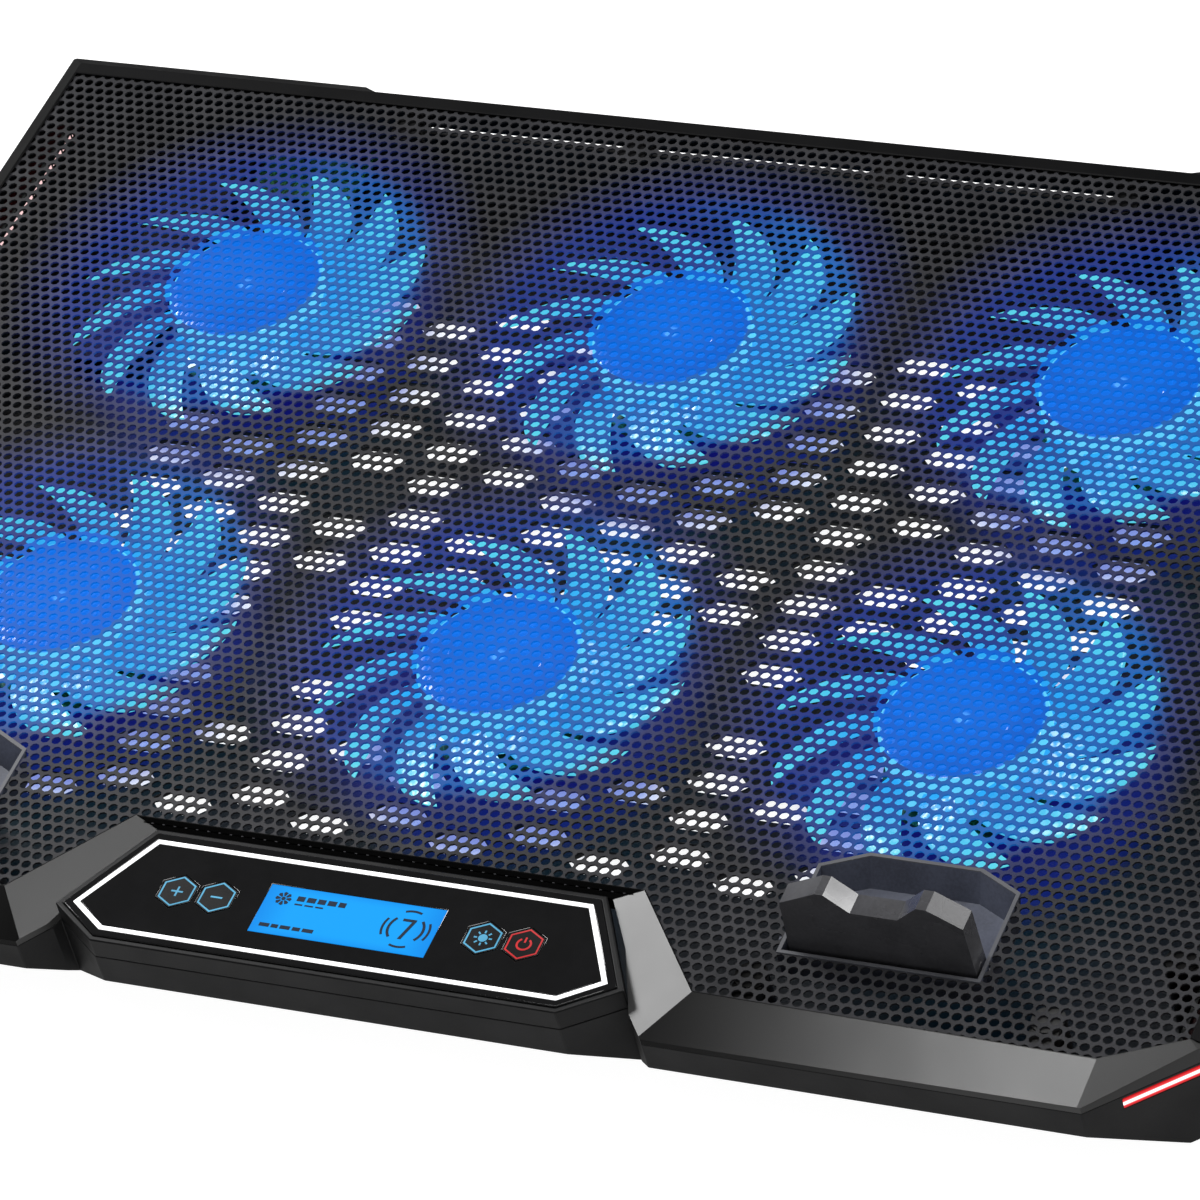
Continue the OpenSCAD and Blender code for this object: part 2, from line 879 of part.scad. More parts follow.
// A flat blade, slanted about its own radius and trimmed by the tip circle
module blade() {
    reach = fan_d / 2 + 2;
    span = (blade_top - blade_low) / sin(blade_pitch);
    root = (blade_top - blade_low) * 0.42 / sin(blade_pitch);
    mid = (blade_low + blade_top) / 2;
    intersection() {
        translate([0, 0, mid])
            rotate([blade_pitch, 0, 0])
                translate([0, 0, -blade_t / 2])
                    linear_extrude(blade_t)
                        polygon([
                            [hub_d / 2 - 1, -root], [hub_d / 2 + 9, -span * 0.4],
                            [reach, -span * 0.2], [reach, span * 0.5],
                            [hub_d / 2 + 9, root], [hub_d / 2 - 1, root * 0.7],
                        ]);
        ring(fan_d / 2, hub_d / 2 - 0.8, blade_low, blade_top);
    }
}

module rotor(col, row) {
    color(fan_blue)
    fan_at(col, row) {
        difference() {
            union() {
                rod(hub_d / 2, hub_low, fan_top);
                for (i = [0:blades - 1])
                    rotate([0, 0, i * 360 / blades])
                        blade();
            }
            difference() {
                rod(magnet_out, hub_low - 1, fan_top - hub_skin);
                rod(3.5, bush_top + 0.4, fan_top);
            }
            rod(shaft_d / 2, bush_top, fan_top - 0.6);
        }
    }
}

module shaft(col, row) {
    color(steel)
    fan_at(col, row)
        rod(shaft_d / 2, floor_z + 1.5, fan_top - 0.6);
}

module magnet(col, row) {
    color(graphite)
    fan_at(col, row)
        ring(magnet_out, magnet_in, hub_low + 0.5, fan_top - hub_skin - 1);
}

module motor_bushes() {
    color(brass)
    at_fans()
        ring(bush_r, shaft_d / 2 + run_gap, floor_z, bush_top);
}

module motor_stators() {
    color(steel)
    at_fans()
        difference() {
            union() {
                rod(8.5, stator_low, stator_low + stator_h);
                intersection() {
                    for (a = [0, 90])
                        rotate([0, 0, a])
                            block([-stator_r, stator_r], [-2.5, 2.5], [stator_low, stator_low + stator_h]);
                    rod(stator_r, stator_low, stator_low + stator_h);
                }
                for (a = [0:90:270])
                    rotate([0, 0, a])
                        intersection() {
                            ring(stator_r, stator_r - 2.5, stator_low, stator_low + stator_h);
                            block([0, stator_r + 1], [-8, 8], [stator_low, stator_low + stator_h]);
                        }
            }
            rod(post_r, stator_low - cut, stator_low + stator_h + cut);
        }
}

module motor_boards() {
    color(board_green)
    at_fans()
        ring(fan_board_r, post_r, fan_board_z, fan_board_z + board_t);
}

module fan_leds() {
    color(lit_white)
    at_fans()
        for (a = [45:90:315])
            rotate([0, 0, a])
                translate([fan_board_r - 2.2, 0, fan_board_z + board_t])
                    block([-1.4, 1.4], [-1.75, 1.75], [0, 1.4]);
}

module usb_socket(x) {
    color(steel)
    translate([x, rear_y, usb_z]) {
        difference() {
            block([-usb_w / 2, usb_w / 2], [-usb_d, 0], [0, usb_h]);
            block([usb_wall - usb_w / 2, usb_w / 2 - usb_wall], [1 - usb_d, cut],
                [usb_wall, usb_h - usb_wall]);
        }
        block([-5.5, 5.5], [0.5 - usb_d, -2.5], [usb_h - usb_wall - 2.2, usb_h - usb_wall - 0.4]);
    }
}

module usb_board() {
    color(board_green)
        block(usb_board_x, [rear_y - wall - usb_board_l, rear_y - wall - 0.3],
            [usb_board_z, usb_board_z + board_t]);
}

module rubber_feet() {
    color(graphite)
    for (p = foot_places)
        translate([p.x, p.y, 0])
            rod(foot_d / 2, 0, foot_h);
}

module case_screw() {
    rod(screw_head_d / 2, foot_h + head_recess - head_h, foot_h + head_recess);
    rod(screw_d / 2, foot_h + head_recess - touch, screw_end);
}

module case_screws() {
    color(steel) {
        at_frame_screws()
            case_screw();
        at_trim_screws()
            case_screw();
        at_panel_screws()
            case_screw();
    }
}

module board_screws() {
    color(steel)
    at_board_screws() {
        rod(board_head[0], panel_board_z + board_t, panel_board_z + board_t + board_head[1]);
        rod(board_screw_r - run_gap, panel_board_z - board_screw_l + cut, panel_board_z + board_t + touch);
    }
}

module leg(side) {
    color(black)
    translate([side * leg_x, leg_axis_y, leg_axis_z])
        difference() {
            union() {
                block([-leg_w / 2, leg_w / 2], [-leg_l, 0], [-leg_t / 2, leg_t / 2]);
                across(leg_t / 2 + 0.5, [-leg_w / 2, leg_w / 2]);
            }
            across(leg_pin_d / 2 + run_gap, [-leg_w, leg_w]);
        }
}

module leg_tip(side) {
    color(graphite)
    translate([side * leg_x, leg_axis_y, leg_axis_z])
        block([-leg_w / 2 - 0.3, leg_w / 2 + 0.3], [-leg_l - leg_tip_l, -leg_l],
            [-leg_t / 2 - 0.3, leg_t / 2 + 0.3]);
}

module leg_pins() {
    color(steel)
    both()
        translate([0, leg_axis_y, leg_axis_z])
            across(leg_pin_d / 2, [leg_x - leg_w / 2 - 2, leg_x + leg_w / 2 + 2]);
}

bottom_shell();
top_frame();
front_trim();
mesh_panel();
stop_tray(-1);  // stop_tray_left
stop_tray(1);  // stop_tray_right
stop(-1);  // stop_left
stop(1);  // stop_right
stop_pin(-1);  // stop_pin_left
stop_pin(1);  // stop_pin_right
control_housing();
control_cover();
light_line();
lcd_glass();
lcd_backlight();
control_board();
key_switches();
key(-1, -1, glass_blue);  // key_plus
key(-1, 1, glass_blue);  // key_minus
key(1, -1, glass_blue);  // key_light
key(1, 1, lit_red);  // key_power
side_light(-1);  // side_light_left
side_light(1);  // side_light_right
side_led_board(-1);  // side_led_board_left
side_led_board(1);  // side_led_board_right
rotor(-1, 0);  // rotor_back_left
rotor(0, 0);  // rotor_back_centre
rotor(1, 0);  // rotor_back_right
rotor(-1, 1);  // rotor_front_left
rotor(0, 1);  // rotor_front_centre
rotor(1, 1);  // rotor_front_right
shaft(-1, 0);  // shaft_back_left
shaft(0, 0);  // shaft_back_centre
shaft(1, 0);  // shaft_back_right
shaft(-1, 1);  // shaft_front_left
shaft(0, 1);  // shaft_front_centre
shaft(1, 1);  // shaft_front_right
magnet(-1, 0);  // magnet_back_left
magnet(0, 0);  // magnet_back_centre
magnet(1, 0);  // magnet_back_right
magnet(-1, 1);  // magnet_front_left
magnet(0, 1);  // magnet_front_centre
magnet(1, 1);  // magnet_front_right
motor_bushes();
motor_stators();
motor_boards();
fan_leds();
usb_socket(usb_x[0]);  // usb_power_socket
usb_socket(usb_x[1]);  // usb_device_socket
usb_board();
rubber_feet();
case_screws();
board_screws();
leg(-1);  // leg_left
leg(1);  // leg_right
leg_tip(-1);  // leg_tip_left
leg_tip(1);  // leg_tip_right
leg_pins();
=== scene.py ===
"""Looks of a six-fan laptop cooling pad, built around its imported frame.

Lengths are written in millimetres and turned into metres by MM. Places come from the frame's own nodes.
"""

import json
import logging
import math
from dataclasses import dataclass, field
from enum import Enum
from typing import Any, Callable, Iterable, Sequence

import bmesh
import bpy
from mathutils import Matrix, Vector

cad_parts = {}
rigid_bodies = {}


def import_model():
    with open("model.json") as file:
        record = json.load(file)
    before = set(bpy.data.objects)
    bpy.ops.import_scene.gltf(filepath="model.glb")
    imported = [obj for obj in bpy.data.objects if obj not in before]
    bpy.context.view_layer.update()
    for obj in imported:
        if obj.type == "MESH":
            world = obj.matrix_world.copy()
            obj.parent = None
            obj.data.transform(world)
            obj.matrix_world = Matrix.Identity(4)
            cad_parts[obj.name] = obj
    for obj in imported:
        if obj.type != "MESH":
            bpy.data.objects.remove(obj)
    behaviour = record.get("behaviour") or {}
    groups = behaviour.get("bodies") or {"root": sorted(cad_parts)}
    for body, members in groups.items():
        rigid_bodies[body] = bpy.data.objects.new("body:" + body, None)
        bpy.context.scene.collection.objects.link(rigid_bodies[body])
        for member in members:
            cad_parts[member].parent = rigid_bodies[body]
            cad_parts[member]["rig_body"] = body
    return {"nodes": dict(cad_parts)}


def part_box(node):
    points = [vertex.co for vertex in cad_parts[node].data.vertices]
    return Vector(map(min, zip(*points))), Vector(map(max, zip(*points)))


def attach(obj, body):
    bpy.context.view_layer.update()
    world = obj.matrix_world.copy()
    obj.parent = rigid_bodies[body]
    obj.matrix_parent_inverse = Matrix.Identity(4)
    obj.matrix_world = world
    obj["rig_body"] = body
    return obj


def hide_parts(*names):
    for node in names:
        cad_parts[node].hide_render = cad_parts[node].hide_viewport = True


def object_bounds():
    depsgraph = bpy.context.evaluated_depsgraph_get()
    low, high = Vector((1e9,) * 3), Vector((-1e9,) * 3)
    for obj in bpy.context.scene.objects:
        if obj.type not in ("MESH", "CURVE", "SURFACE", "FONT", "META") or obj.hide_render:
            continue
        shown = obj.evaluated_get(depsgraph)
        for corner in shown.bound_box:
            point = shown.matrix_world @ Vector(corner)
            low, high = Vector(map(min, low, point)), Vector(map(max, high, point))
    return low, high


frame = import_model()
CAD_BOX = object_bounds()
MM = 0.001
LOG = logging.getLogger("cooling_pad")
Colour = tuple[float, float, float, float]
Point = tuple[float, float]
Levels = tuple[float, float, float]


def tone(red: float, green: float, blue: float) -> Colour:
    """Turn a display colour into a linear one.

    Args:
        red: Red from 0 to 255.
        green: Green from 0 to 255.
        blue: Blue from 0 to 255.

    Returns:
        The linear colour with full alpha.
    """
    def linear(level: float) -> float:
        """One display level as a linear share."""
        share = level / 255
        return share / 12.92 if share <= 0.04045 else ((share + 0.055) / 1.055) ** 2.4

    return linear(red), linear(green), linear(blue), 1.0


class Sign(Enum):
    """What a key's lit sign shows."""

    PLUS = "plus"
    MINUS = "minus"
    LAMP = "lamp"
    POWER = "power"


# ---------------------------------------------------------------- node trees


def joined(operation: str, swapped: bool = False) -> Callable[["Sock", Any], "Sock"]:
    """Make an operator that adds one Math node.

    Args:
        operation: What the node does.
        swapped: Whether the other value comes first.

    Returns:
        The operator, as a method.
    """
    def method(self: "Sock", other: Any) -> "Sock":
        """Join this value with another."""
        return self.patch.maths(operation, *((other, self) if swapped else (self, other)))

    return method


class Sock:
    """A node's output that takes part in Python expressions."""

    __add__ = __radd__ = joined("ADD")
    __mul__ = __rmul__ = joined("MULTIPLY")
    __sub__, __rsub__ = joined("SUBTRACT"), joined("SUBTRACT", swapped=True)
    __truediv__, __rtruediv__ = joined("DIVIDE"), joined("DIVIDE", swapped=True)
    __gt__, __lt__ = joined("GREATER_THAN"), joined("LESS_THAN")
    least, most = joined("MINIMUM"), joined("MAXIMUM")

    def __init__(self, patch: "Patch", outlet: bpy.types.NodeSocket) -> None:
        """Keep the output and the patch that makes more nodes."""
        self.patch = patch
        self.outlet = outlet

    def folded(self, period: float) -> "Sock":
        """Distance from the nearest multiple of the period."""
        return self.patch.maths("PINGPONG", self, period / 2)

    def rise(self, low: float, high: float) -> "Sock":
        """Smooth step from 0 at low to 1 at high."""
        if low > high:
            return 1 - self.rise(high, low)
        return self.patch.node(
            "ShaderNodeMapRange", {"interpolation_type": "SMOOTHSTEP"}, {0: self, 1: low, 2: high}
        )


class Patch:
    """Adds nodes to one shader or geometry tree."""

    def __init__(self, tree: bpy.types.NodeTree) -> None:
        """Keep the tree that grows."""
        self.tree = tree

    def node(
        self,
        kind: str,
        settings: dict[str, Any] | None = None,
        sockets: dict[Any, Any] | None = None,
        outlet: int | str = 0,
    ) -> Sock:
        """Add one node.

        Args:
            kind: The node's type.
            settings: Properties, set before the sockets.
            sockets: Values or links by input name or number.
            outlet: The output that the result wraps.

        Returns:
            The chosen output.
        """
        made = self.tree.nodes.new(kind)
        for name, value in (settings or {}).items():
            setattr(made, name, value)
        for key, value in (sockets or {}).items():
            for part in value if isinstance(value, list) else [value]:
                if isinstance(part, Sock):
                    self.tree.links.new(part.outlet, made.inputs[key])
                else:
                    made.inputs[key].default_value = part
        return Sock(self, made.outputs[outlet]) if len(made.outputs) else Sock(self, None)

    def maths(self, operation: str, *values: Any) -> Sock:
        """Add a Math node on two values."""
        return self.node("ShaderNodeMath", {"operation": operation}, dict(enumerate(values)))

    def blend(self, share: Any, start: Any, end: Any) -> Sock:
        """Mix two colours by a share from 0 to 1."""
        return self.node("ShaderNodeMix", {"data_type": "RGBA"}, {0: share, 6: start, 7: end}, outlet=2)

    def place(self) -> Sock:
        """Object coordinates, in metres."""
        return self.node("ShaderNodeTexCoord", outlet="Object")

    def split(self, vector: Sock) -> tuple[Sock, Sock, Sock]:
        """The three parts of a vector."""
        first = self.node("ShaderNodeSeparateXYZ", sockets={0: vector})
        outlets = first.outlet.node.outputs
        return tuple(Sock(self, outlets[i]) for i in range(3))

    def noise(self, cells: float, detail: float = 2.0) -> Sock:
        """Noise of so many cells per metre, from 0 to 1."""
        return self.node("ShaderNodeTexNoise", sockets={"Vector": self.place(), "Scale": cells, "Detail": detail})


# ---------------------------------------------------------------- finishes


@dataclass(frozen=True)
class Finish:
    """A surface with grain, mottle and small changes of gloss.

    Attributes:
        slot: Name of the material slot, which starts the material's name.
        colour: Main colour, 0 to 255.
        roughness: Middle roughness.
        metallic: Share of metal.
        grain: Grain cells per metre.
        relief: Height of the grain in metres.
        mottle: Share by which the colour varies.
        gloss_change: How far the roughness varies.
        coat: Weight of a clear coat.
        reflect: Specular level.
    """

    slot: str
    colour: Levels
    roughness: float = 0.5
    metallic: float = 0.0
    grain: float = 1500.0
    relief: float = 0.00002
    mottle: float = 0.12
    gloss_change: float = 0.08
    coat: float = 0.0
    reflect: float = 0.5

    def colour_field(self, patch: Patch) -> Sock:
        """Colour over the surface."""
        dark = tone(*(c * (1 - self.mottle) for c in self.colour))
        light = tone(*(min(255, c * (1 + self.mottle)) for c in self.colour))
        cloud = patch.noise(90, 4) * 0.6 + patch.noise(self.grain) * 0.4
        return patch.blend(cloud.rise(0.3, 0.7), dark, light)

    def roughness_field(self, patch: Patch) -> Sock:
        """Roughness over the surface."""
        return patch.noise(60, 5).rise(0.25, 0.75) * (2 * self.gloss_change) + (self.roughness - self.gloss_change)

    def relief_field(self, patch: Patch) -> Sock:
        """Height of the surface, from 0 to 1."""
        return patch.noise(self.grain, 3)

    def glow_field(self, patch: Patch) -> Sock | None:
        """Light that the surface gives, or None."""
        return None

    def material(self) -> bpy.types.Material:
        """The material, made once for each finish."""
        name = f"{self.slot}_{type(self).__name__}_{abs(hash_text(repr(self))):04d}"
        made = bpy.data.materials.get(name)
        if made:
            return made
        made = bpy.data.materials.new(name)
        made.use_nodes = True
        made.node_tree.nodes.clear()
        patch = Patch(made.node_tree)
        sockets = {
            "Base Color": self.colour_field(patch),
            "Roughness": self.roughness_field(patch),
            "Metallic": self.metallic,
            "Coat Weight": self.coat,
            "Coat Roughness": 0.06,
            "Specular IOR Level": self.reflect,
            "Normal": patch.node("ShaderNodeBump", sockets={
                "Strength": 0.6, "Distance": self.relief, "Height": self.relief_field(patch),
            }),
        }
        glow = self.glow_field(patch)
        if glow is not None:
            sockets |= {"Emission Color": glow, "Emission Strength": 1.0}
        surface = patch.node("ShaderNodeBsdfPrincipled", sockets=sockets)
        patch.node("ShaderNodeOutputMaterial", sockets={"Surface": surface})
        return made


def hash_text(text: str) -> int:
    """A short number that is the same each run for the same text."""
    return sum((i + 1) * ord(c) for i, c in enumerate(text)) % 10000


@dataclass(frozen=True)
class FanField:
    """Where the light of the six fans falls, seen from above.

    Attributes:
        pitch: Spacing of the fans along X, in metres.
        rows: Y of the front and the back row.
        hub: Radius of a hub.
        tip: Radius at the blade tips.
        reach: Radius at which the glow ends.
    """

    pitch: float
    rows: tuple[float, float]
    hub: float
    tip: float
    reach: float

    def polar(self, patch: Patch) -> tuple[Sock, Sock]:
        """Distance from the nearest fan's middle, and the angle about it."""
        x, y, _ = patch.split(patch.place())
        column = patch.maths("ROUND", x / self.pitch).least(1).most(-1)
        row = y > sum(self.rows) / 2
        across = x - column * self.pitch
        along = y - row * (self.rows[1] - self.rows[0]) - self.rows[0]
        return patch.maths("SQRT", across * across + along * along), patch.maths("ARCTAN2", along, across)


FANS = FanField(
    pitch=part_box("magnet_back_right")[0].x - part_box("magnet_back_centre")[0].x,
    rows=tuple(sum(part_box(f"magnet_{row}_centre")[i].y for i in (0, 1)) / 2 for row in ("front", "back")),
    hub=20.5 * MM,
    tip=(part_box("rotor_back_centre")[1].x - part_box("rotor_back_centre")[0].x) / 2,
    reach=66 * MM,
)


@dataclass(frozen=True)
class LitDeck(Finish):
    """Black coated sheet steel with a painted blue glow over the fans, standing in for their light from below.

    Attributes:
        paint: Darker paint under the painted glow, over a hub and over its blades, 0 to 255.
        over_hub: Painted glow over a hub's middle and over its edge.
        over_blades: Dimmest and brightest painted glow over the blades.
        beyond: Painted glow beyond the blade tips.
        lean: How far clockwise of the right the painted glow is brightest, in radians.
        soft: Half width of the soft edges at the blade tips.
    """

    paint: tuple[Levels, Levels] = ((6.6, 6.6, 6.6), (30, 30, 34))
    over_hub: tuple[Levels, Levels] = ((4, 102, 212), (4, 96, 206))
    over_blades: tuple[Levels, Levels] = ((16, 42, 126), (14, 94, 176))
    beyond: Levels = (14, 30, 100)
    lean: float = 0.25
    soft: Point = (3 * MM, 4 * MM)

    def colour_field(self, patch: Patch) -> Sock:
        """Dark grey paint, made darker still under the painted glow over the fans."""
        radius, _ = FANS.polar(patch)
        soft, _ = self.soft
        over = patch.blend(radius > FANS.hub + 0.3 * MM, *(tone(*paint) for paint in self.paint))
        return patch.blend(radius.rise(FANS.tip - soft, FANS.tip + soft), over, super().colour_field(patch))

    def glow_field(self, patch: Patch) -> Sock:
        """Painted blue glow over the fans that fades into the dark deck."""
        # Painted glow: this emission on the deck stands in for the fans' light from below.
        radius, angle = FANS.polar(patch)
        start, soft = self.soft
        turned = patch.maths("COSINE", angle + self.lean) * 0.8 + patch.noise(60) * 0.4
        blades = patch.blend(turned.rise(-0.3, 0.7), *(tone(*lit) for lit in self.over_blades))
        hub = patch.blend(radius.rise(6 * MM, FANS.hub), *(tone(*lit) for lit in self.over_hub))
        inner = patch.blend(radius.rise(FANS.hub + 0.2 * MM, FANS.hub + 0.5 * MM), hub, blades)
        edge = patch.blend(radius.rise(FANS.tip - soft, FANS.tip + soft), inner, tone(*self.beyond))
        fade = radius.rise(FANS.reach, FANS.tip - start)
        return patch.blend(fade * (0.8 + patch.noise(40) * 0.4), (0, 0, 0, 1), edge)


@dataclass(frozen=True)
class LitShell(Finish):
    """Moulded black shell with painted shade inside and a painted blue glow of the fans on its inner floor.

    Attributes:
        floor: Height above which the inside starts.
        ceiling: Height at which the painted blue glow ends.
        half_width: Half width of the inside.
        margins: Distance of the inside from the front and from the back.
    """

    floor: float = 3 * MM
    ceiling: float = 20 * MM
    half_width: float = 198 * MM
    margins: Point = (14 * MM, 8 * MM)

    def colour_field(self, patch: Patch) -> Sock:
        """Plain plastic outside, and painted shade inside: deep black where little light comes."""
        x, y, z = patch.split(patch.place())
        front, back = CAD_BOX[0].y + self.margins[0], CAD_BOX[1].y - self.margins[1]
        inside = (patch.maths("ABSOLUTE", x) < self.half_width) * (z > self.floor) * (y > front) * (y < back)
        # Painted shade: the inside of the shell is made deep black.
        return patch.blend(inside, super().colour_field(patch), tone(5, 5, 6))

    def glow_field(self, patch: Patch) -> Sock:
        """Painted navy glow on the inner floor around each fan."""
        # Painted glow: the fans' light on the inner floor is emission colour.
        radius, _ = FANS.polar(patch)
        _, _, z = patch.split(patch.place())
        _, _, up = patch.split(patch.node("ShaderNodeNewGeometry", outlet="True Normal"))
        inside = (z > self.floor) * (z < self.ceiling) * (up > 0.5)
        share = inside * radius.rise(FANS.tip + 3 * MM, FANS.tip - 10 * MM)
        return patch.blend(share, (0, 0, 0, 1), tone(12, 14, 98))


@dataclass(frozen=True)
class LitFan(Finish):
    """Clear fan plastic with the blue light of its motor in it.

    Attributes:
        along: Light at a blade's root and at its tip, 0 to 255.
        below: Painted shade: dimmer light at the blades' lower edges.
        hub: Light on a hub's middle dot and on the rest of it.
        ring: Light on the hub's rim.
    """

    along: tuple[Levels, Levels] = ((40, 166, 232), (96, 220, 226))
    below: Levels = (18, 110, 206)
    hub: tuple[Levels, Levels] = ((84, 164, 248), (8, 104, 214))
    ring: Levels = (96, 206, 248)

    def glow_field(self, patch: Patch) -> Sock:
        """Deep blue on the hub, cyan and paler towards the tips, with painted shade towards the blades' lower edges.
        """
        radius, _ = FANS.polar(patch)
        _, _, z = patch.split(patch.place())
        low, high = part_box("rotor_back_centre")[0].z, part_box("rotor_back_centre")[1].z
        span = radius.rise(FANS.hub, FANS.tip)
        blade = patch.blend(span, *(tone(*lit) for lit in self.along))
        # Painted shade: the blades dim towards their lower edges.
        shaded_blade = patch.blend(z.rise(low, high) * 0.5 + 0.5, tone(*self.below), blade)
        hub = patch.blend(radius.rise(1.0 * MM, 2.4 * MM), *(tone(*lit) for lit in self.hub))
        rim = patch.blend(radius.rise(FANS.hub - 1.3 * MM, FANS.hub - 0.7 * MM), hub, tone(*self.ring))
        return patch.blend(radius > FANS.hub + 0.1 * MM, rim, shaded_blade)


@dataclass(frozen=True)
class Lamp(Finish):
    """A lit piece of one colour, with slight clouds in its light.

    Attributes:
        glow: Colour of the light, 0 to 255.
        strength: Brightness of the light.
    """

    glow: Levels = (255, 255, 255)
    strength: float = 1.0

    def glow_field(self, patch: Patch) -> Sock:
        """The light over the surface."""
        bright = tuple(c * self.strength for c in tone(*self.glow)[:3]) + (1.0,)
        dim = tuple(c * 0.82 for c in bright[:3]) + (1.0,)
        return patch.blend(patch.noise(140).rise(0.35, 0.6), dim, bright)


@dataclass(frozen=True)
class PipeLamp(Finish):
    """Red light pipe with a paler core.

    Attributes:
        middle: Height of the core.
        half: Half height of the pipe.
    """

    middle: float = 23 * MM
    half: float = 1.5 * MM

    def glow_field(self, patch: Patch) -> Sock:
        """Red with a white-pink middle line."""
        x, _, z = patch.split(patch.place())
        off = patch.maths("ABSOLUTE", z - self.middle) / self.half
        red = patch.blend(off.rise(0.3, 0.9), tone(255, 36, 46), tone(206, 12, 22))
        lit = patch.blend(off.rise(0.5, 0.15), red, (2.2, 1.5, 1.5, 1.0))
        facing, _, _ = patch.split(patch.node("ShaderNodeNewGeometry", outlet="Normal"))
        outer = facing * patch.maths("SIGN", x) > 0.1
        return patch.blend(outer, tone(4, 0, 0), lit)


@dataclass(frozen=True)
class LedStrip(Finish):
    """Narrow circuit board with a line of light-emitting chips along it.

    Attributes:
        middle: Height of the chips.
        pitch: Spacing of the chips.
        chip: Half length and half height of a chip.
    """

    middle: float = 23 * MM
    pitch: float = 3 * MM
    chip: Point = (1.1 * MM, 0.6 * MM)

    def glow_field(self, patch: Patch) -> Sock:
        """White-pink chips in a row, dark between them."""
        _, y, z = patch.split(patch.place())
        chip = (patch.maths("ABSOLUTE", z - self.middle) < self.chip[1]) * (y.folded(self.pitch) < self.chip[0])
        return patch.blend(chip, (0, 0, 0, 1), tone(255, 214, 214))


@dataclass(frozen=True)
class Board(Finish):
    """Solder-masked circuit board with copper tracks."""

    def colour_field(self, patch: Patch) -> Sock:
        """Green with paler tracks and small pads."""
        cells = patch.node("ShaderNodeTexVoronoi", {"feature": "DISTANCE_TO_EDGE"}, {
            "Vector": patch.place(), "Scale": 320.0,
        })
        track = cells.rise(0.08, 0.03)
        ground = super().colour_field(patch)
        return patch.blend(track * 0.7, ground, tone(60, 130, 84))


@dataclass(frozen=True)
class Edged(Finish):
    """Moulded plastic whose raised lip has a paler painted highlight along it.

    Attributes:
        lip: Height above which the painted highlight starts, in metres.
        rubbed: Colour of the painted highlight on the lip, 0 to 255.
    """

    lip: float = 30.12 * MM
    rubbed: Levels = (120, 120, 126)

    def colour_field(self, patch: Patch) -> Sock:
        """Plain plastic below the lip and a pale painted highlight on it."""
        _, _, z = patch.split(patch.place())
        # Painted highlight: the lip is paler where its edge would catch the light.
        return patch.blend(z.rise(self.lip - 0.05 * MM, self.lip), super().colour_field(patch), tone(*self.rubbed))


@dataclass(frozen=True)
class GradedPaint(Finish):
    """Satin grey paint with a painted sheen that lightens along the front bands towards the corners, and painted
    shade that sets each slanted facet apart.

    Attributes:
        band: Painted sheen: greys of a front band at its inner and its outer end, 0 to 255.
        facets: Painted shade: greys of the slanted facets beside the panel and at the corners, 0 to 255.
    """

    band: Point = (6, 78)
    facets: Point = (78, 66)

    def colour_field(self, patch: Patch) -> Sock:
        """Painted sheen and shade by facet and along the bands, with the paint's own mottle."""
        x, _, _ = patch.split(patch.place())
        out = patch.maths("ABSOLUTE", x)
        facing, _, _ = patch.split(patch.node("ShaderNodeNewGeometry", outlet="True Normal"))
        # Painted sheen along the bands and painted shade on the slanted facets, picked by facet direction.
        band = patch.blend(out.rise(76 * MM, 196 * MM), *(tone(grey, grey, grey) for grey in self.band))
        facet = patch.blend(out > 120 * MM, *(tone(grey, grey, grey) for grey in self.facets))
        grey = patch.blend(patch.maths("ABSOLUTE", facing) > 0.03, band, facet)
        return patch.blend(patch.noise(self.grain) * self.mottle, grey, tone(*self.colour))


@dataclass(frozen=True)
class Winding(Finish):
    """Laminated steel core wound with copper wire."""

    def colour_field(self, patch: Patch) -> Sock:
        """Copper turns with dark gaps between them."""
        _, _, z = patch.split(patch.place())
        turn = z.folded(0.5 * MM) / (0.25 * MM)
        return patch.blend(turn.rise(0.1, 0.5), tone(84, 40, 20), tone(206, 122, 70))


@dataclass(frozen=True)
class Display(Finish):
    """Back-lit blue display."""

    def glow_field(self, patch: Patch) -> Sock:
        """Even blue, a little deeper at the edges of the window."""
        x, y, _ = patch.split(patch.place())
        low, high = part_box("lcd_glass")
        mid = (low + high) / 2
        edge_x = patch.maths("ABSOLUTE", x - mid.x) / ((high.x - low.x) / 2)
        edge_y = patch.maths("ABSOLUTE", y - mid.y) / ((high.y - low.y) / 2)
        return patch.blend(edge_x.most(edge_y).rise(0.55, 1.0), tone(12, 166, 255), tone(0, 142, 240))


@dataclass(frozen=True)
class Brushed(Finish):
    """Metal with fine drawn lines along one direction."""

    def relief_field(self, patch: Patch) -> Sock:
        """Stretched noise, as drawing or turning leaves it."""
        x, y, z = patch.split(patch.place())
        stretched = patch.node("ShaderNodeCombineXYZ", sockets={0: x * 0.05, 1: y, 2: z})
        return patch.node("ShaderNodeTexNoise", sockets={"Vector": stretched, "Scale": 6000.0, "Detail": 2.0})


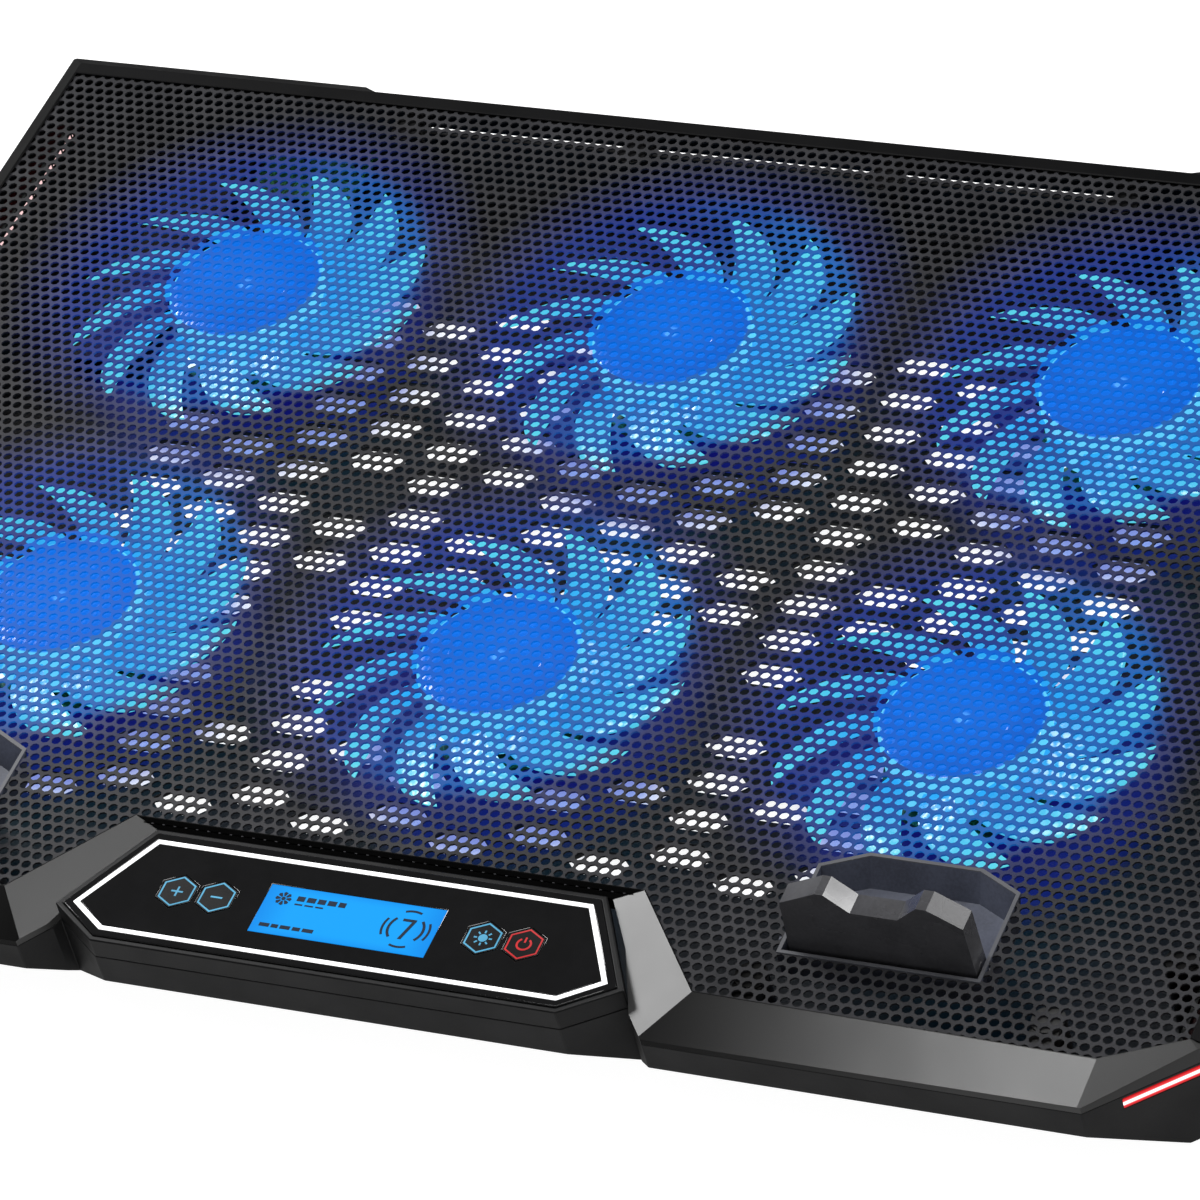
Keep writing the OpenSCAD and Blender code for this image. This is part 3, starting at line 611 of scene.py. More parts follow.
class Palette:
    """Every finish of the pad, by the part that wears it."""

    # Shell: painted shade inside and a painted navy glow of the fans on its inner floor.
    SHELL = LitShell("black_plastic", (22, 22, 23), 0.5, grain=1300, relief=0.03 * MM, reflect=0.3)
    BLACK = Finish("black_plastic", (15, 15, 16), 0.42, grain=1300, relief=0.02 * MM, reflect=0.28)
    RIM = Finish("black_plastic", (8, 8, 9), 0.5, grain=1300, relief=0.02 * MM, reflect=0.1)
    # Deck: painted blue glow of the fans over darker paint.
    DECK = LitDeck("deck_steel", (48, 48, 51), 0.42, metallic=0.1, grain=2200, relief=0.01 * MM, reflect=0.2)
    # Front trim: painted sheen along the bands and painted shade on the slanted facets.
    TRIM = GradedPaint("satin_grey_paint", (80, 80, 81), 0.32, metallic=0.6, grain=5200, relief=0.005 * MM,
                       mottle=0.03, gloss_change=0.015, reflect=0.1)
    # Tray: paler painted highlight along the raised lip.
    TRAY = Edged("tray_plastic", (76, 80, 94), 0.38, grain=1500, relief=0.015 * MM, rubbed=(86, 87, 92))
    STOP = Finish("stop_plastic", (62, 62, 65), 0.3, grain=1200, relief=0.006 * MM, reflect=0.6)
    GLOSS = Finish("gloss_black", (15, 15, 16), 0.1, relief=0.001 * MM, grain=400, coat=0.4, gloss_change=0.02)
    KEY = Finish("gloss_black", (13, 13, 14), 0.3, relief=0.002 * MM, grain=500, gloss_change=0.03, reflect=0.3)
    LINE = Lamp("light_guide_white", (235, 236, 238), 0.35, glow=(250, 250, 252), strength=0.95)
    LCD = Display("lcd_blue", (2, 16, 26), 0.45, relief=0.001 * MM, reflect=0.08)
    BACKLIGHT = Lamp("led_white", (220, 224, 228), 0.4, glow=(160, 200, 255))
    INK = Finish("lcd_blue", (8, 30, 52), 0.5, relief=0.001 * MM, reflect=0.2)
    BLUE_SIGN = Lamp("key_blue", (40, 90, 120), 0.3, glow=(84, 160, 190))
    RED_SIGN = Lamp("key_red", (120, 20, 24), 0.3, glow=(184, 44, 46))
    PIPE = PipeLamp("light_pipe_red", (34, 4, 6), 0.25, relief=0.003 * MM)
    FAN = LitFan("fan_plastic", (20, 70, 120), 0.22, grain=300, relief=0.004 * MM, coat=0.3)
    BOARD = Board("circuit_board", (20, 70, 40), 0.35)
    STEEL = Brushed("steel", (168, 170, 174), 0.28, metallic=1.0, relief=0.004 * MM, mottle=0.05)
    SOCKET = Brushed("steel", (176, 178, 182), 0.24, metallic=1.0, relief=0.003 * MM, mottle=0.05)
    MAGNET = Finish("magnet_dark", (52, 52, 54), 0.5, metallic=0.6, grain=2600)
    BRONZE = Finish("bronze", (150, 104, 58), 0.38, metallic=1.0, grain=3200, relief=0.01 * MM)
    WINDING = Winding("steel", (180, 104, 60), 0.34, metallic=0.8)
    LED = Lamp("led_white", (230, 232, 236), 0.3, glow=(206, 226, 255), strength=1.6)
    EDGE_LED = LedStrip("circuit_board", (20, 24, 22), 0.4)
    RUBBER = Finish("rubber_black", (22, 22, 22), 0.8, grain=900, relief=0.04 * MM, reflect=0.25)


# ---------------------------------------------------------------- meshes


class Draft:
    """Vertices and faces collected for one mesh, in millimetres."""

    def __init__(self) -> None:
        """Start empty."""
        self.points: list[tuple[float, float, float]] = []
        self.faces: list[list[int]] = []

    def add(self, points: Iterable[tuple[float, float, float]], faces: Iterable[Sequence[int]]) -> "Draft":
        """Add points, and faces that count from the first of them."""
        start = len(self.points)
        self.points += list(points)
        self.faces += [[start + i for i in f] for f in faces]
        return self

    def plate(self, outline: Sequence[Point], low: float, high: float) -> "Draft":
        """Add a closed plate with an anticlockwise outline."""
        n = len(outline)
        walls = [[i, (i + 1) % n, n + (i + 1) % n, n + i] for i in range(n)]
        return self.add(
            [(*p, low) for p in outline] + [(*p, high) for p in outline],
            [list(range(n))[::-1], list(range(n, 2 * n)), *walls],
        )

    def band(self, outer: Sequence[Point], inner: Sequence[Point], low: float, high: float,
             closed: bool = True) -> "Draft":
        """Add a raised band between two rows of as many points each."""
        n = len(outer)
        ring = [[(*o, low), (*o, high), (*i, high), (*i, low)] for o, i in zip(outer, inner)]
        faces = []
        for a in range(n if closed else n - 1):
            b = (a + 1) % n
            faces += [[4 * a + k, 4 * b + k, 4 * b + (k + 1) % 4, 4 * a + (k + 1) % 4] for k in range(4)]
        if not closed:
            faces += [[3, 2, 1, 0], [4 * n - 4, 4 * n - 3, 4 * n - 2, 4 * n - 1]]
        return self.add([p for row in ring for p in row], faces)

    def lathe(self, profile: Sequence[Point], sides: int = 48, centre: Point = (0, 0)) -> "Draft":
        """Add a turned solid; the profile is (radius, height) from the axis below to the axis above."""
        points = [(centre[0], centre[1], profile[0][1]), (centre[0], centre[1], profile[-1][1])]
        rows = profile[1:-1]
        for radius, height in rows:
            for k in range(sides):
                turn = math.tau * k / sides
                points.append((centre[0] + radius * math.cos(turn), centre[1] + radius * math.sin(turn), height))
        faces: list[list[int]] = []
        for k in range(sides):
            after = (k + 1) % sides
            faces.append([0, 2 + after, 2 + k])
            last = 2 + sides * (len(rows) - 1)
            faces.append([1, last + k, last + after])
            for j in range(len(rows) - 1):
                a, b = 2 + sides * j, 2 + sides * (j + 1)
                faces.append([a + k, a + after, b + after, b + k])
        return self.add(points, faces)

    def mesh(self, name: str) -> bpy.types.Mesh:
        """The finished mesh in metres, with its faces outwards."""
        mesh = bpy.data.meshes.new(name)
        mesh.from_pydata([tuple(c * MM for c in p) for p in self.points], [], self.faces)
        work = bmesh.new()
        work.from_mesh(mesh)
        bmesh.ops.recalc_face_normals(work, faces=work.faces)
        work.to_mesh(mesh)
        work.free()
        return mesh


def circle(radius: float, sides: int, centre: Point = (0, 0), start: float = 0, end: float = 360) -> list[Point]:
    """Points of an arc in degrees; a full turn leaves its last point out."""
    full = abs(end - start) >= 360
    steps = sides if full else sides - 1
    turns = [math.radians(start + (end - start) * i / steps) for i in range(sides)]
    return [(centre[0] + radius * math.cos(t), centre[1] + radius * math.sin(t)) for t in turns]


def bar(start: Point, end: Point, width: float) -> list[Point]:
    """Outline of a straight stroke between two points."""
    along = Vector(end) - Vector(start)
    off = Vector((-along.y, along.x)).normalized() * width / 2
    a, b = Vector(start), Vector(end)
    return [tuple(p) for p in (a - off, b - off, b + off, a + off)]


def middle(node: str) -> Vector:
    """Centre of a node's box, in millimetres."""
    low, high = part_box(node)
    return (low + high) / 2 / MM


def islands(node: str) -> list[tuple[Vector, Vector]]:
    """Box of each separate solid of a node.

    Args:
        node: The CAD node.

    Returns:
        The lowest and highest corner of each solid, in millimetres, in order of X and then Y.
    """
    work = bmesh.new()
    work.from_mesh(frame["nodes"][node].data)
    bmesh.ops.remove_doubles(work, verts=work.verts, dist=0.002 * MM)
    seen: set[int] = set()
    boxes = []
    for seed in work.verts:
        if seed.index in seen:
            continue
        group, stack = [], [seed]
        seen.add(seed.index)
        while stack:
            vert = stack.pop()
            group.append(vert.co / MM)
            for edge in vert.link_edges:
                other = edge.other_vert(vert)
                if other.index not in seen:
                    seen.add(other.index)
                    stack.append(other)
        low = Vector(min(c[i] for c in group) for i in range(3))
        high = Vector(max(c[i] for c in group) for i in range(3))
        boxes.append((low, high))
    work.free()
    return sorted(boxes, key=lambda b: (round(b[0].x, 2), round(b[0].y, 2)))


def body_of(node: str) -> str:
    """The CAD body that a node rides on."""
    return frame["nodes"][node]["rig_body"]


def put(name: str, mesh: bpy.types.Mesh, finish: Finish, body: str, nodes: Sequence[str] = (),
        smooth: float | None = 35) -> bpy.types.Object:
    """Make a piece of a finished mesh.

    Args:
        name: The piece's name.
        mesh: Its mesh, in place.
        finish: What it wears.
        body: The CAD body that it rides on.
        nodes: CAD nodes that it stands for.
        smooth: Edges sharper than this angle stay sharp, in degrees; None keeps the mesh's own shading.

    Returns:
        The new object.
    """
    mesh.materials.clear()
    mesh.materials.append(finish.material())
    if smooth is not None:
        mesh.shade_smooth()
        mesh.set_sharp_from_angle(angle=math.radians(smooth))
    piece = bpy.data.objects.new(name, mesh)
    bpy.context.scene.collection.objects.link(piece)
    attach(piece, body)
    if nodes:
        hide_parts(*nodes)
    LOG.info("%s: %d faces on %s", name, len(mesh.polygons), body)
    return piece


def softened(node: str, width: float, angle: float = 25) -> bpy.types.Mesh:
    """A copy of a node's mesh with its edges rounded.

    Args:
        node: The CAD node.
        width: Width of the rounding in millimetres.
        angle: Edges flatter than this stay as they are, in degrees.

    Returns:
        The rounded mesh, or one with narrower rounding where the full width doesn't fit.
    """
    work = bmesh.new()
    work.from_mesh(frame["nodes"][node].data)
    bmesh.ops.remove_doubles(work, verts=work.verts, dist=0.002 * MM)
    before = work.calc_volume()
    bmesh.ops.dissolve_limit(work, angle_limit=math.radians(1.5), verts=work.verts, edges=work.edges)
    curved = work.faces.layers.int.new("curved")
    for face in work.faces:
        bends = [e.calc_face_angle(0) for e in face.edges if e.is_manifold]
        gentle = any(math.radians(2) < bend < math.radians(20) for bend in bends)
        face[curved] = int(gentle and face.calc_area() < 60 * MM * MM)
    bmesh.ops.triangulate(work, faces=work.faces, quad_method="BEAUTY", ngon_method="BEAUTY")
    low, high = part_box(node)
    for clamp in (False, True):
        tried = work.copy()
        sharp = [e for e in tried.edges if e.is_manifold and e.calc_face_angle(0) > math.radians(angle)]
        rounded = bmesh.ops.bevel(tried, geom=sharp, offset=width * MM, segments=2, profile=0.6,
                                  affect="EDGES", clamp_overlap=clamp)["faces"]
        inside = all(low[i] - 0.01 * MM <= v.co[i] <= high[i] + 0.01 * MM for v in tried.verts for i in range(3))
        if clamp or (inside and tried.calc_volume() > 0.975 * before):
            break
        tried.free()
    fresh = set(rounded)
    curved = tried.faces.layers.int["curved"]
    for face in tried.faces:
        face.smooth = face[curved] == 1 or face in fresh
    mesh = bpy.data.meshes.new(f"{node}_softened")
    tried.to_mesh(mesh)
    tried.free()
    work.free()
    return mesh


class Grower:
    """Builds one geometry tree with named inputs and runs it on a mesh."""

    def __init__(self, name: str, inputs: dict[str, tuple[str, Any]]) -> None:
        """Open a tree.

        Args:
            name: Name of the tree.
            inputs: Socket type and value of each named input.
        """
        self.tree = bpy.data.node_groups.new(name, "GeometryNodeTree")
        self.values = inputs
        self.tree.interface.new_socket("Geometry", in_out="INPUT", socket_type="NodeSocketGeometry")
        self.ids = {}
        for label, (kind, _) in inputs.items():
            made = self.tree.interface.new_socket(label, in_out="INPUT", socket_type=kind)
            self.ids[label] = made.identifier
        self.tree.interface.new_socket("Geometry", in_out="OUTPUT", socket_type="NodeSocketGeometry")
        self.patch = Patch(self.tree)
        entry = self.tree.nodes.new("NodeGroupInput")
        self.inlet = {socket.name: Sock(self.patch, socket) for socket in entry.outputs if socket.name}

    def close(self, geometry: Sock, finish: Finish) -> None:
        """End the tree in Realize Instances and Set Material."""
        real = self.patch.node("GeometryNodeRealizeInstances", sockets={0: geometry})
        worn = self.patch.node("GeometryNodeSetMaterial", sockets={0: real, "Material": finish.material()})
        self.patch.node("NodeGroupOutput", sockets={0: worn})

    def grow(self, carrier: bpy.types.Mesh, name: str) -> bpy.types.Mesh:
        """Run the tree on a carrier mesh.

        Args:
            carrier: The mesh that goes in.
            name: Name of the result.

        Returns:
            The plain mesh that comes out.
        """
        holder = bpy.data.objects.new(f"{name}_carrier", carrier)
        bpy.context.scene.collection.objects.link(holder)
        modifier = holder.modifiers.new("grow", "NODES")
        modifier.node_group = self.tree
        for label, (_, value) in self.values.items():
            modifier[self.ids[label]] = value
        ready = holder.evaluated_get(bpy.context.evaluated_depsgraph_get())
        mesh = bpy.data.meshes.new_from_object(ready)
        mesh.name = name
        holder.modifiers.clear()
        bpy.data.objects.remove(holder)
        return mesh


def merged(mesh: bpy.types.Mesh, distance: float = 0.0005) -> bpy.types.Mesh:
    """The mesh with its doubles merged, within a distance in millimetres."""
    work = bmesh.new()
    work.from_mesh(mesh)
    bmesh.ops.remove_doubles(work, verts=work.verts, dist=distance * MM)
    work.to_mesh(mesh)
    work.free()
    return mesh


def repeated(name: str, shape: bpy.types.Mesh, places: Sequence[Vector], finish: Finish) -> bpy.types.Mesh:
    """Repeat a shape at several places with a geometry tree.

    Args:
        name: Name of the result.
        shape: The shape about the origin, in metres.
        places: Where its origin goes, in millimetres.
        finish: What the result wears.

    Returns:
        One plain mesh.
    """
    grower = Grower(f"{name}_repeat", {"Shape": ("NodeSocketObject", None), "Size": ("NodeSocketFloat", 1.0)})
    pattern = bpy.data.objects.new(f"{name}_pattern", shape)
    bpy.context.scene.collection.objects.link(pattern)
    grower.values["Shape"] = ("NodeSocketObject", pattern)
    patch = grower.patch
    source = patch.node("GeometryNodeObjectInfo", sockets={"Object": grower.inlet["Shape"]}, outlet="Geometry")
    copies = patch.node("GeometryNodeInstanceOnPoints", sockets={
        "Points": grower.inlet["Geometry"], "Instance": source, "Scale": grower.inlet["Size"],
    })
    grower.close(copies, finish)
    carrier = bpy.data.meshes.new(f"{name}_places")
    carrier.from_pydata([tuple(p * MM) for p in places], [], [])
    mesh = grower.grow(carrier, name)
    bpy.data.objects.remove(pattern)
    return mesh


# ---------------------------------------------------------------- the pad's pieces


@dataclass
class PerforatedDeck:
    """The sheet steel deck with its staggered round holes.

    Attributes:
        pitch: Spacing of the holes along X and of the rows along Y.
        hole: Radius of a hole at the top.
        flare: How much wider a hole is at the sheet's underside.
        sides: Sides of a hole.
        sections: How many pieces the sheet is made in.
    """

    pitch: Point = (3.0, 3.05)
    hole: float = 1.24
    flare: float = 1.08
    sides: int = 8
    sections: int = 3

    def build(self) -> None:
        """Make the sheet in sections and punch it."""
        low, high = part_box("mesh_panel")
        width = (high.x - low.x) / self.sections
        for index in range(self.sections):
            left = low.x + width * index
            self.section(("left", "centre", "right")[index], left, left + width)

    def section(self, name: str, left: float, right: float) -> None:
        """Punch the holes of one section between two values of X, in metres."""
        low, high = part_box("mesh_panel")
        pitch_x, pitch_y = (p * MM for p in self.pitch)
        first = math.floor(left / pitch_x) - 1
        columns = math.ceil(right / pitch_x) + 1 - first + 1
        rows = math.ceil((high.y - low.y) / pitch_y) + 2
        grower = Grower(f"punch_{name}", {
            "Pitch": ("NodeSocketVector", (pitch_x, pitch_y, 0)),
            "Columns": ("NodeSocketInt", columns),
            "Rows": ("NodeSocketInt", rows),
            "Corner": ("NodeSocketVector", (first * pitch_x, low.y - pitch_y / 2, low.z * 1.1 - high.z * 0.1)),
            "Hole radius": ("NodeSocketFloat", self.hole * MM),
            "Hole sides": ("NodeSocketInt", self.sides),
            "Flare": ("NodeSocketFloat", self.flare),
            "Left": ("NodeSocketFloat", left),
            "Right": ("NodeSocketFloat", right),
        })
        patch, inlet = grower.patch, grower.inlet
        step_x, step_y, _ = patch.split(inlet["Pitch"])
        start = inlet["Corner"]
        wide = (inlet["Columns"] - 1) * step_x
        deep = (inlet["Rows"] - 1) * step_y
        grid = patch.node("GeometryNodeMeshGrid", sockets={
            "Size X": wide, "Size Y": deep, "Vertices X": inlet["Columns"], "Vertices Y": inlet["Rows"],
        })
        x, y, z = patch.split(patch.node("GeometryNodeInputPosition"))
        row = patch.maths("ROUND", (y + deep / 2) / step_y)
        stagger = patch.maths("FLOORED_MODULO", row, 2) * step_x / 2
        start_x, start_y, start_z = patch.split(start)
        spot = patch.node("ShaderNodeCombineXYZ", sockets={
            0: x + wide / 2 + stagger + start_x, 1: y + deep / 2 + start_y, 2: z + start_z,
        })
        spots = patch.node("GeometryNodeSetPosition", sockets={"Geometry": grid, "Position": spot})
        punch = patch.node("GeometryNodeMeshCone", sockets={
            "Vertices": inlet["Hole sides"], "Radius Top": inlet["Hole radius"],
            "Radius Bottom": inlet["Hole radius"] * inlet["Flare"], "Depth": (high.z - low.z) * 1.2,
        })
        punches = patch.node("GeometryNodeRealizeInstances", sockets={
            0: patch.node("GeometryNodeInstanceOnPoints", sockets={"Points": spots, "Instance": punch}),
        })
        reach = 1.0
        halves = []
        for edge, toward in ((inlet["Left"], -1), (inlet["Right"], 1)):
            block = patch.node("GeometryNodeMeshCube", sockets={"Size": (reach, reach, reach)})
            moved = patch.node("ShaderNodeCombineXYZ", sockets={0: edge + toward * reach / 2})
            halves.append(patch.node("GeometryNodeTransform", sockets={"Geometry": block, "Translation": moved}))
        sheet = patch.node("GeometryNodeMeshBoolean", {"operation": "DIFFERENCE", "solver": "MANIFOLD"}, {
            "Mesh 1": inlet["Geometry"], "Mesh 2": [*halves, punches],
        })
        grower.close(sheet, Palette.DECK)
        plain = frame["nodes"]["mesh_panel"].data.copy()
        merged(plain, 0.002)
        mesh = merged(grower.grow(plain, f"deck_{name}"))
        put(f"deck_{name}", mesh, Palette.DECK, body_of("mesh_panel"), ["mesh_panel"], smooth=30)


@dataclass
class Fan:
    """One lit rotor: a rounded hub with a raised ring and twelve twisted blades.

    Attributes:
        spot: Its row and column, such as back_left.
        blades: Number of blades.
        sweep: Turn of a blade from root to tip, in degrees.
        chord: Angle that a blade covers at its middle, in degrees.
        thick: Thickness of a blade.
        spans: Steps along a blade and across it.
    """

    spot: str
    blades: int = 12
    sweep: float = 25
    chord: float = 24
    thick: float = 0.9
    spans: tuple[int, int] = (12, 8)

    @property
    def node(self) -> str:
        """The CAD rotor."""
        return f"rotor_{self.spot}"

    def blade(self) -> bpy.types.Mesh:
        """One blade about the fan's axis, as a closed twisted sheet."""
        low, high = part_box(self.node)
        z_low, z_high = low.z / MM + 0.5, high.z / MM - 1.2
        root, tip = FANS.hub / MM - 0.6, FANS.tip / MM - 0.3
        along, across = self.spans
        draft = Draft()
        points = []
        for offset in (-0.5, 0.5):
            for i in range(along + 1):
                u = i / along
                taper = 0.62 + 0.38 * math.sin(math.pi * min(1.0, 0.2 + u * 0.75))
                for j in range(across + 1):
                    v = j / across
                    tip_here = tip - 4.5 * (1 - v) ** 1.5
                    radius = root + (tip_here - root) * u
                    turn = math.radians(self.sweep * u ** 1.2 + (v - 0.5) * self.chord * taper)
                    height = z_low + (z_high - z_low) * (0.7 + (v - 0.5) * 0.22)
                    height += offset * self.thick * (1 - 0.5 * u)
                    points.append((radius * math.cos(turn), radius * math.sin(turn), height))
        size = (along + 1) * (across + 1)
        faces = []
        for i in range(along):
            for j in range(across):
                a = i * (across + 1) + j
                quad = [a, a + 1, a + across + 2, a + across + 1]
                faces += [quad, [size + k for k in quad[::-1]]]
        rim = [i * (across + 1) for i in range(along + 1)]
        rim += [along * (across + 1) + j for j in range(1, across + 1)]
        rim += [i * (across + 1) + across for i in range(along - 1, -1, -1)]
        rim += [j for j in range(across - 1, 0, -1)]
        for k, a in enumerate(rim):
            b = rim[(k + 1) % len(rim)]
            faces.append([a, size + a, size + b, b])
        return draft.add(points, faces).mesh(f"{self.spot}_blade")

    def hub(self) -> bpy.types.Mesh:
        """The cup-shaped hub with a rounded shoulder and a shallow ring on top."""
        low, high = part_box(self.node)
        centre = middle(self.node)
        radius = FANS.hub / MM
        bottom, top = low.z / MM + 0.4, high.z / MM
        cup = 13.0
        profile = [
            (0, top - 2.2), (magnet_gap := radius - 1.6, top - 2.2), (magnet_gap, bottom), (radius, bottom),
            (radius, top - 1.5), (radius - 0.15, top - 0.8), (radius - 0.6, top - 0.25), (radius - 1.2, top),
            (cup, top), (cup - 0.3, top - 0.25), (cup - 1.2, top - 0.25), (cup - 1.5, top),
            (1.6, top), (1.2, top - 0.4), (0, top - 0.4),
        ]
        return Draft().lathe(profile, 64, (centre.x, centre.y)).mesh(f"{self.spot}_hub")

    def build(self) -> None:
        """Make the hub and the ring of blades."""
        body = body_of(self.node)
        grower = Grower(f"{self.spot}_blades", {
            "Blades": ("NodeSocketInt", self.blades),
            "Centre": ("NodeSocketVector", tuple(Vector((*middle(self.node).xy, 0)) * MM)),
        })
        patch, inlet = grower.patch, grower.inlet
        ring = patch.node("GeometryNodePoints", sockets={"Count": inlet["Blades"], "Position": inlet["Centre"]})
        turn = patch.node("GeometryNodeInputIndex") * (math.tau / self.blades)
        facing = patch.node("ShaderNodeCombineXYZ", sockets={2: turn})
        copies = patch.node("GeometryNodeInstanceOnPoints", sockets={
            "Points": ring, "Instance": inlet["Geometry"], "Rotation": facing,
        })
        grower.close(copies, Palette.FAN)
        blades = grower.grow(self.blade(), f"{self.spot}_blades")
        put(f"blades_{self.spot}", blades, Palette.FAN, body, [self.node], smooth=50)
        put(f"hub_{self.spot}", self.hub(), Palette.FAN, body, [self.node])


@dataclass
class Signs:
    """Flat lit signs and display segments, drawn as thin raised plates.

    Attributes:
        rise: Height of a plate above what it lies on.
        sink: How far a plate reaches into what it lies on.
        stroke: Width of a stroke.
    """

    rise: float = 0.06
    sink: float = 0.05
    stroke: float = 0.45

    def raised(self, draft: Draft, outlines: Iterable[Sequence[Point]], top: float) -> None:
        """Add plates that start a little inside the surface below them."""
        for outline in outlines:
            draft.plate(outline, top - self.sink, top + self.rise)


@dataclass
class Key(Signs):
    """A hexagonal key with its lit outline and sign.

    Attributes:
        node: The CAD key.
        sign: What it shows.
        inset: Distance of the lit outline from the key's flats.
        power_ring: Radii of the broken ring in the power sign.
    """

    node: str = "key_plus"
    sign: Sign = Sign.PLUS
    inset: float = 0.75
    power_ring: Point = (1.95, 1.45)

    def outlines(self, x: float, y: float) -> list[list[Point]]:
        """Strokes of the sign about the key's middle."""
        w = self.stroke
        if self.sign is Sign.PLUS:
            return [bar((x - 1.5, y), (x + 1.5, y), w), bar((x, y - 1.5), (x, y - w / 2), w),
                    bar((x, y + w / 2), (x, y + 1.5), w)]
        if self.sign is Sign.MINUS:
            return [bar((x - 1.5, y), (x + 1.5, y), w)]
        if self.sign is Sign.LAMP:
            rays = [math.tau * k / 8 for k in range(8)]
            spokes = [bar((x + 1.5 * math.cos(t), y + 1.5 * math.sin(t)),
                          (x + 2.3 * math.cos(t), y + 2.3 * math.sin(t)), 0.4) for t in rays]
            return [circle(1.15, 20, (x, y)), *spokes]
        return [bar((x, y + 0.5), (x, y + 2.1), w)]

    def build(self) -> None:
        """Make the cap and the lit sign on it."""
        low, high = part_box(self.node)
        x, y, _ = middle(self.node)
        top = high.z / MM
        body = body_of(self.node)
        finish = Palette.RED_SIGN if self.sign is Sign.POWER else Palette.BLUE_SIGN
        put(f"{self.node}_cap", softened(self.node, 0.12), Palette.KEY, body, [self.node], smooth=None)
        draft = Draft()
        self.raised(draft, self.outlines(x, y), top)
        flat = (high.x - low.x) / MM / 2 - self.inset
        corner = flat / math.cos(math.radians(30))
        draft.band(circle(corner, 6, (x, y), 30, 390), circle(corner - self.stroke, 6, (x, y), 30, 390),
                   top - self.sink, top + self.rise)
        if self.sign is Sign.POWER:
            outer, inner = (circle(radius, 24, (x, y), 125, 415) for radius in self.power_ring)
            draft.band(outer, inner, top - self.sink, top + self.rise, closed=False)
        put(f"{self.node}_sign", draft.mesh(f"{self.node}_sign"), finish, body)


@dataclass
class ControlPanel(Signs):
    """Gloss cover, lit line, display and keys at the front of the pad.

    Attributes:
        words: Distance of the display's bars from its middle.
        digit: Distance of the display's digit from its middle.
    """

    words: float = 18.1
    digit: float = 15.1

    def bars(self, x: float, y: float) -> list[list[Point]]:
        """Plain bars that stand where a display has its words."""
        upper = [(3.4, 2.0), (6.0, 2.2), (8.8, 2.0), (11.4, 2.2), (14.2, 1.8)]
        lower = [(-2.6, 2.6), (0.5, 1.8), (2.8, 2.6), (6.0, 2.0), (8.6, 2.8)]
        found = [bar((x + a, y + 4.2), (x + a + b, y + 4.2), 1.5) for a, b in upper]
        found += [bar((x + a, y + 2.4), (x + a + b, y + 2.4), 0.45) for a, b in upper[:3]]
        return found + [bar((x + a, y - 5.0), (x + a + b, y - 5.0), 1.1) for a, b in lower]

    def fan_sign(self, x: float, y: float) -> list[list[Point]]:
        """A small fan: a dot and eight petals."""
        petals = []
        for k in range(8):
            t = math.tau * k / 8
            petals.append([
                (x + r * math.cos(t + a), y + r * math.sin(t + a))
                for r, a in ((0.75, -0.25), (1.9, -0.30), (2.1, 0.05), (1.8, 0.28), (0.75, 0.22))
            ])
        return [circle(0.55, 16, (x, y)), *petals]

    def digit_seven(self, x: float, y: float) -> list[list[Point]]:
        """The digit that the display shows."""
        return [[
            (x - 1.7, y + 3.1), (x - 1.7, y + 2.3), (x + 0.75, y + 2.3), (x - 0.9, y - 3.2),
            (x + 0.0, y - 3.2), (x + 1.75, y + 2.6), (x + 1.75, y + 3.1),
        ]]

    def dashed_ring(self, draft: Draft, x: float, y: float, top: float) -> None:
        """Arcs around the digit: two long ones beside it, two short ones above and below."""
        for radius, width, turn, half in (
            (4.4, 0.7, 0, 42), (4.4, 0.7, 180, 42), (5.9, 0.6, 0, 26), (5.9, 0.6, 180, 26),
            (5.6, 0.6, 90, 22), (5.6, 0.6, 270, 22),
        ):
            outer, inner = (
                circle(radius + side * width / 2, 14, (x, y), turn - half, turn + half) for side in (1, -1)
            )
            draft.band(outer, inner, top - self.sink, top + self.rise, closed=False)

    def build(self) -> None:
        """Make every piece of the panel."""
        base = body_of("control_cover")
        for name, node, width, finish in (
            ("panel_housing", "control_housing", 0.35, Palette.BLACK),
            ("panel_cover", "control_cover", 0.22, Palette.GLOSS),
            ("panel_line", "light_line", 0.12, Palette.LINE),
            ("display_window", "lcd_glass", 0.12, Palette.LCD),
        ):
            put(name, softened(node, width), finish, base, [node], smooth=None)
        low, high = (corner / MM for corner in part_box("lcd_glass"))
        top, mid = high.z, (low + high) / 2
        left, right = mid.x - self.words, mid.x + self.digit
        draft = Draft()
        self.raised(draft, self.bars(left, mid.y), top)
        self.raised(draft, self.fan_sign(left, mid.y + 3.6), top)
        self.raised(draft, self.digit_seven(right, mid.y), top)
        self.dashed_ring(draft, right, mid.y, top)
        put("display_signs", draft.mesh("display_signs"), Palette.INK, base)
        for name, sign in (("plus", Sign.PLUS), ("minus", Sign.MINUS), ("light", Sign.LAMP), ("power", Sign.POWER)):
            Key(node=f"key_{name}", sign=sign).build()


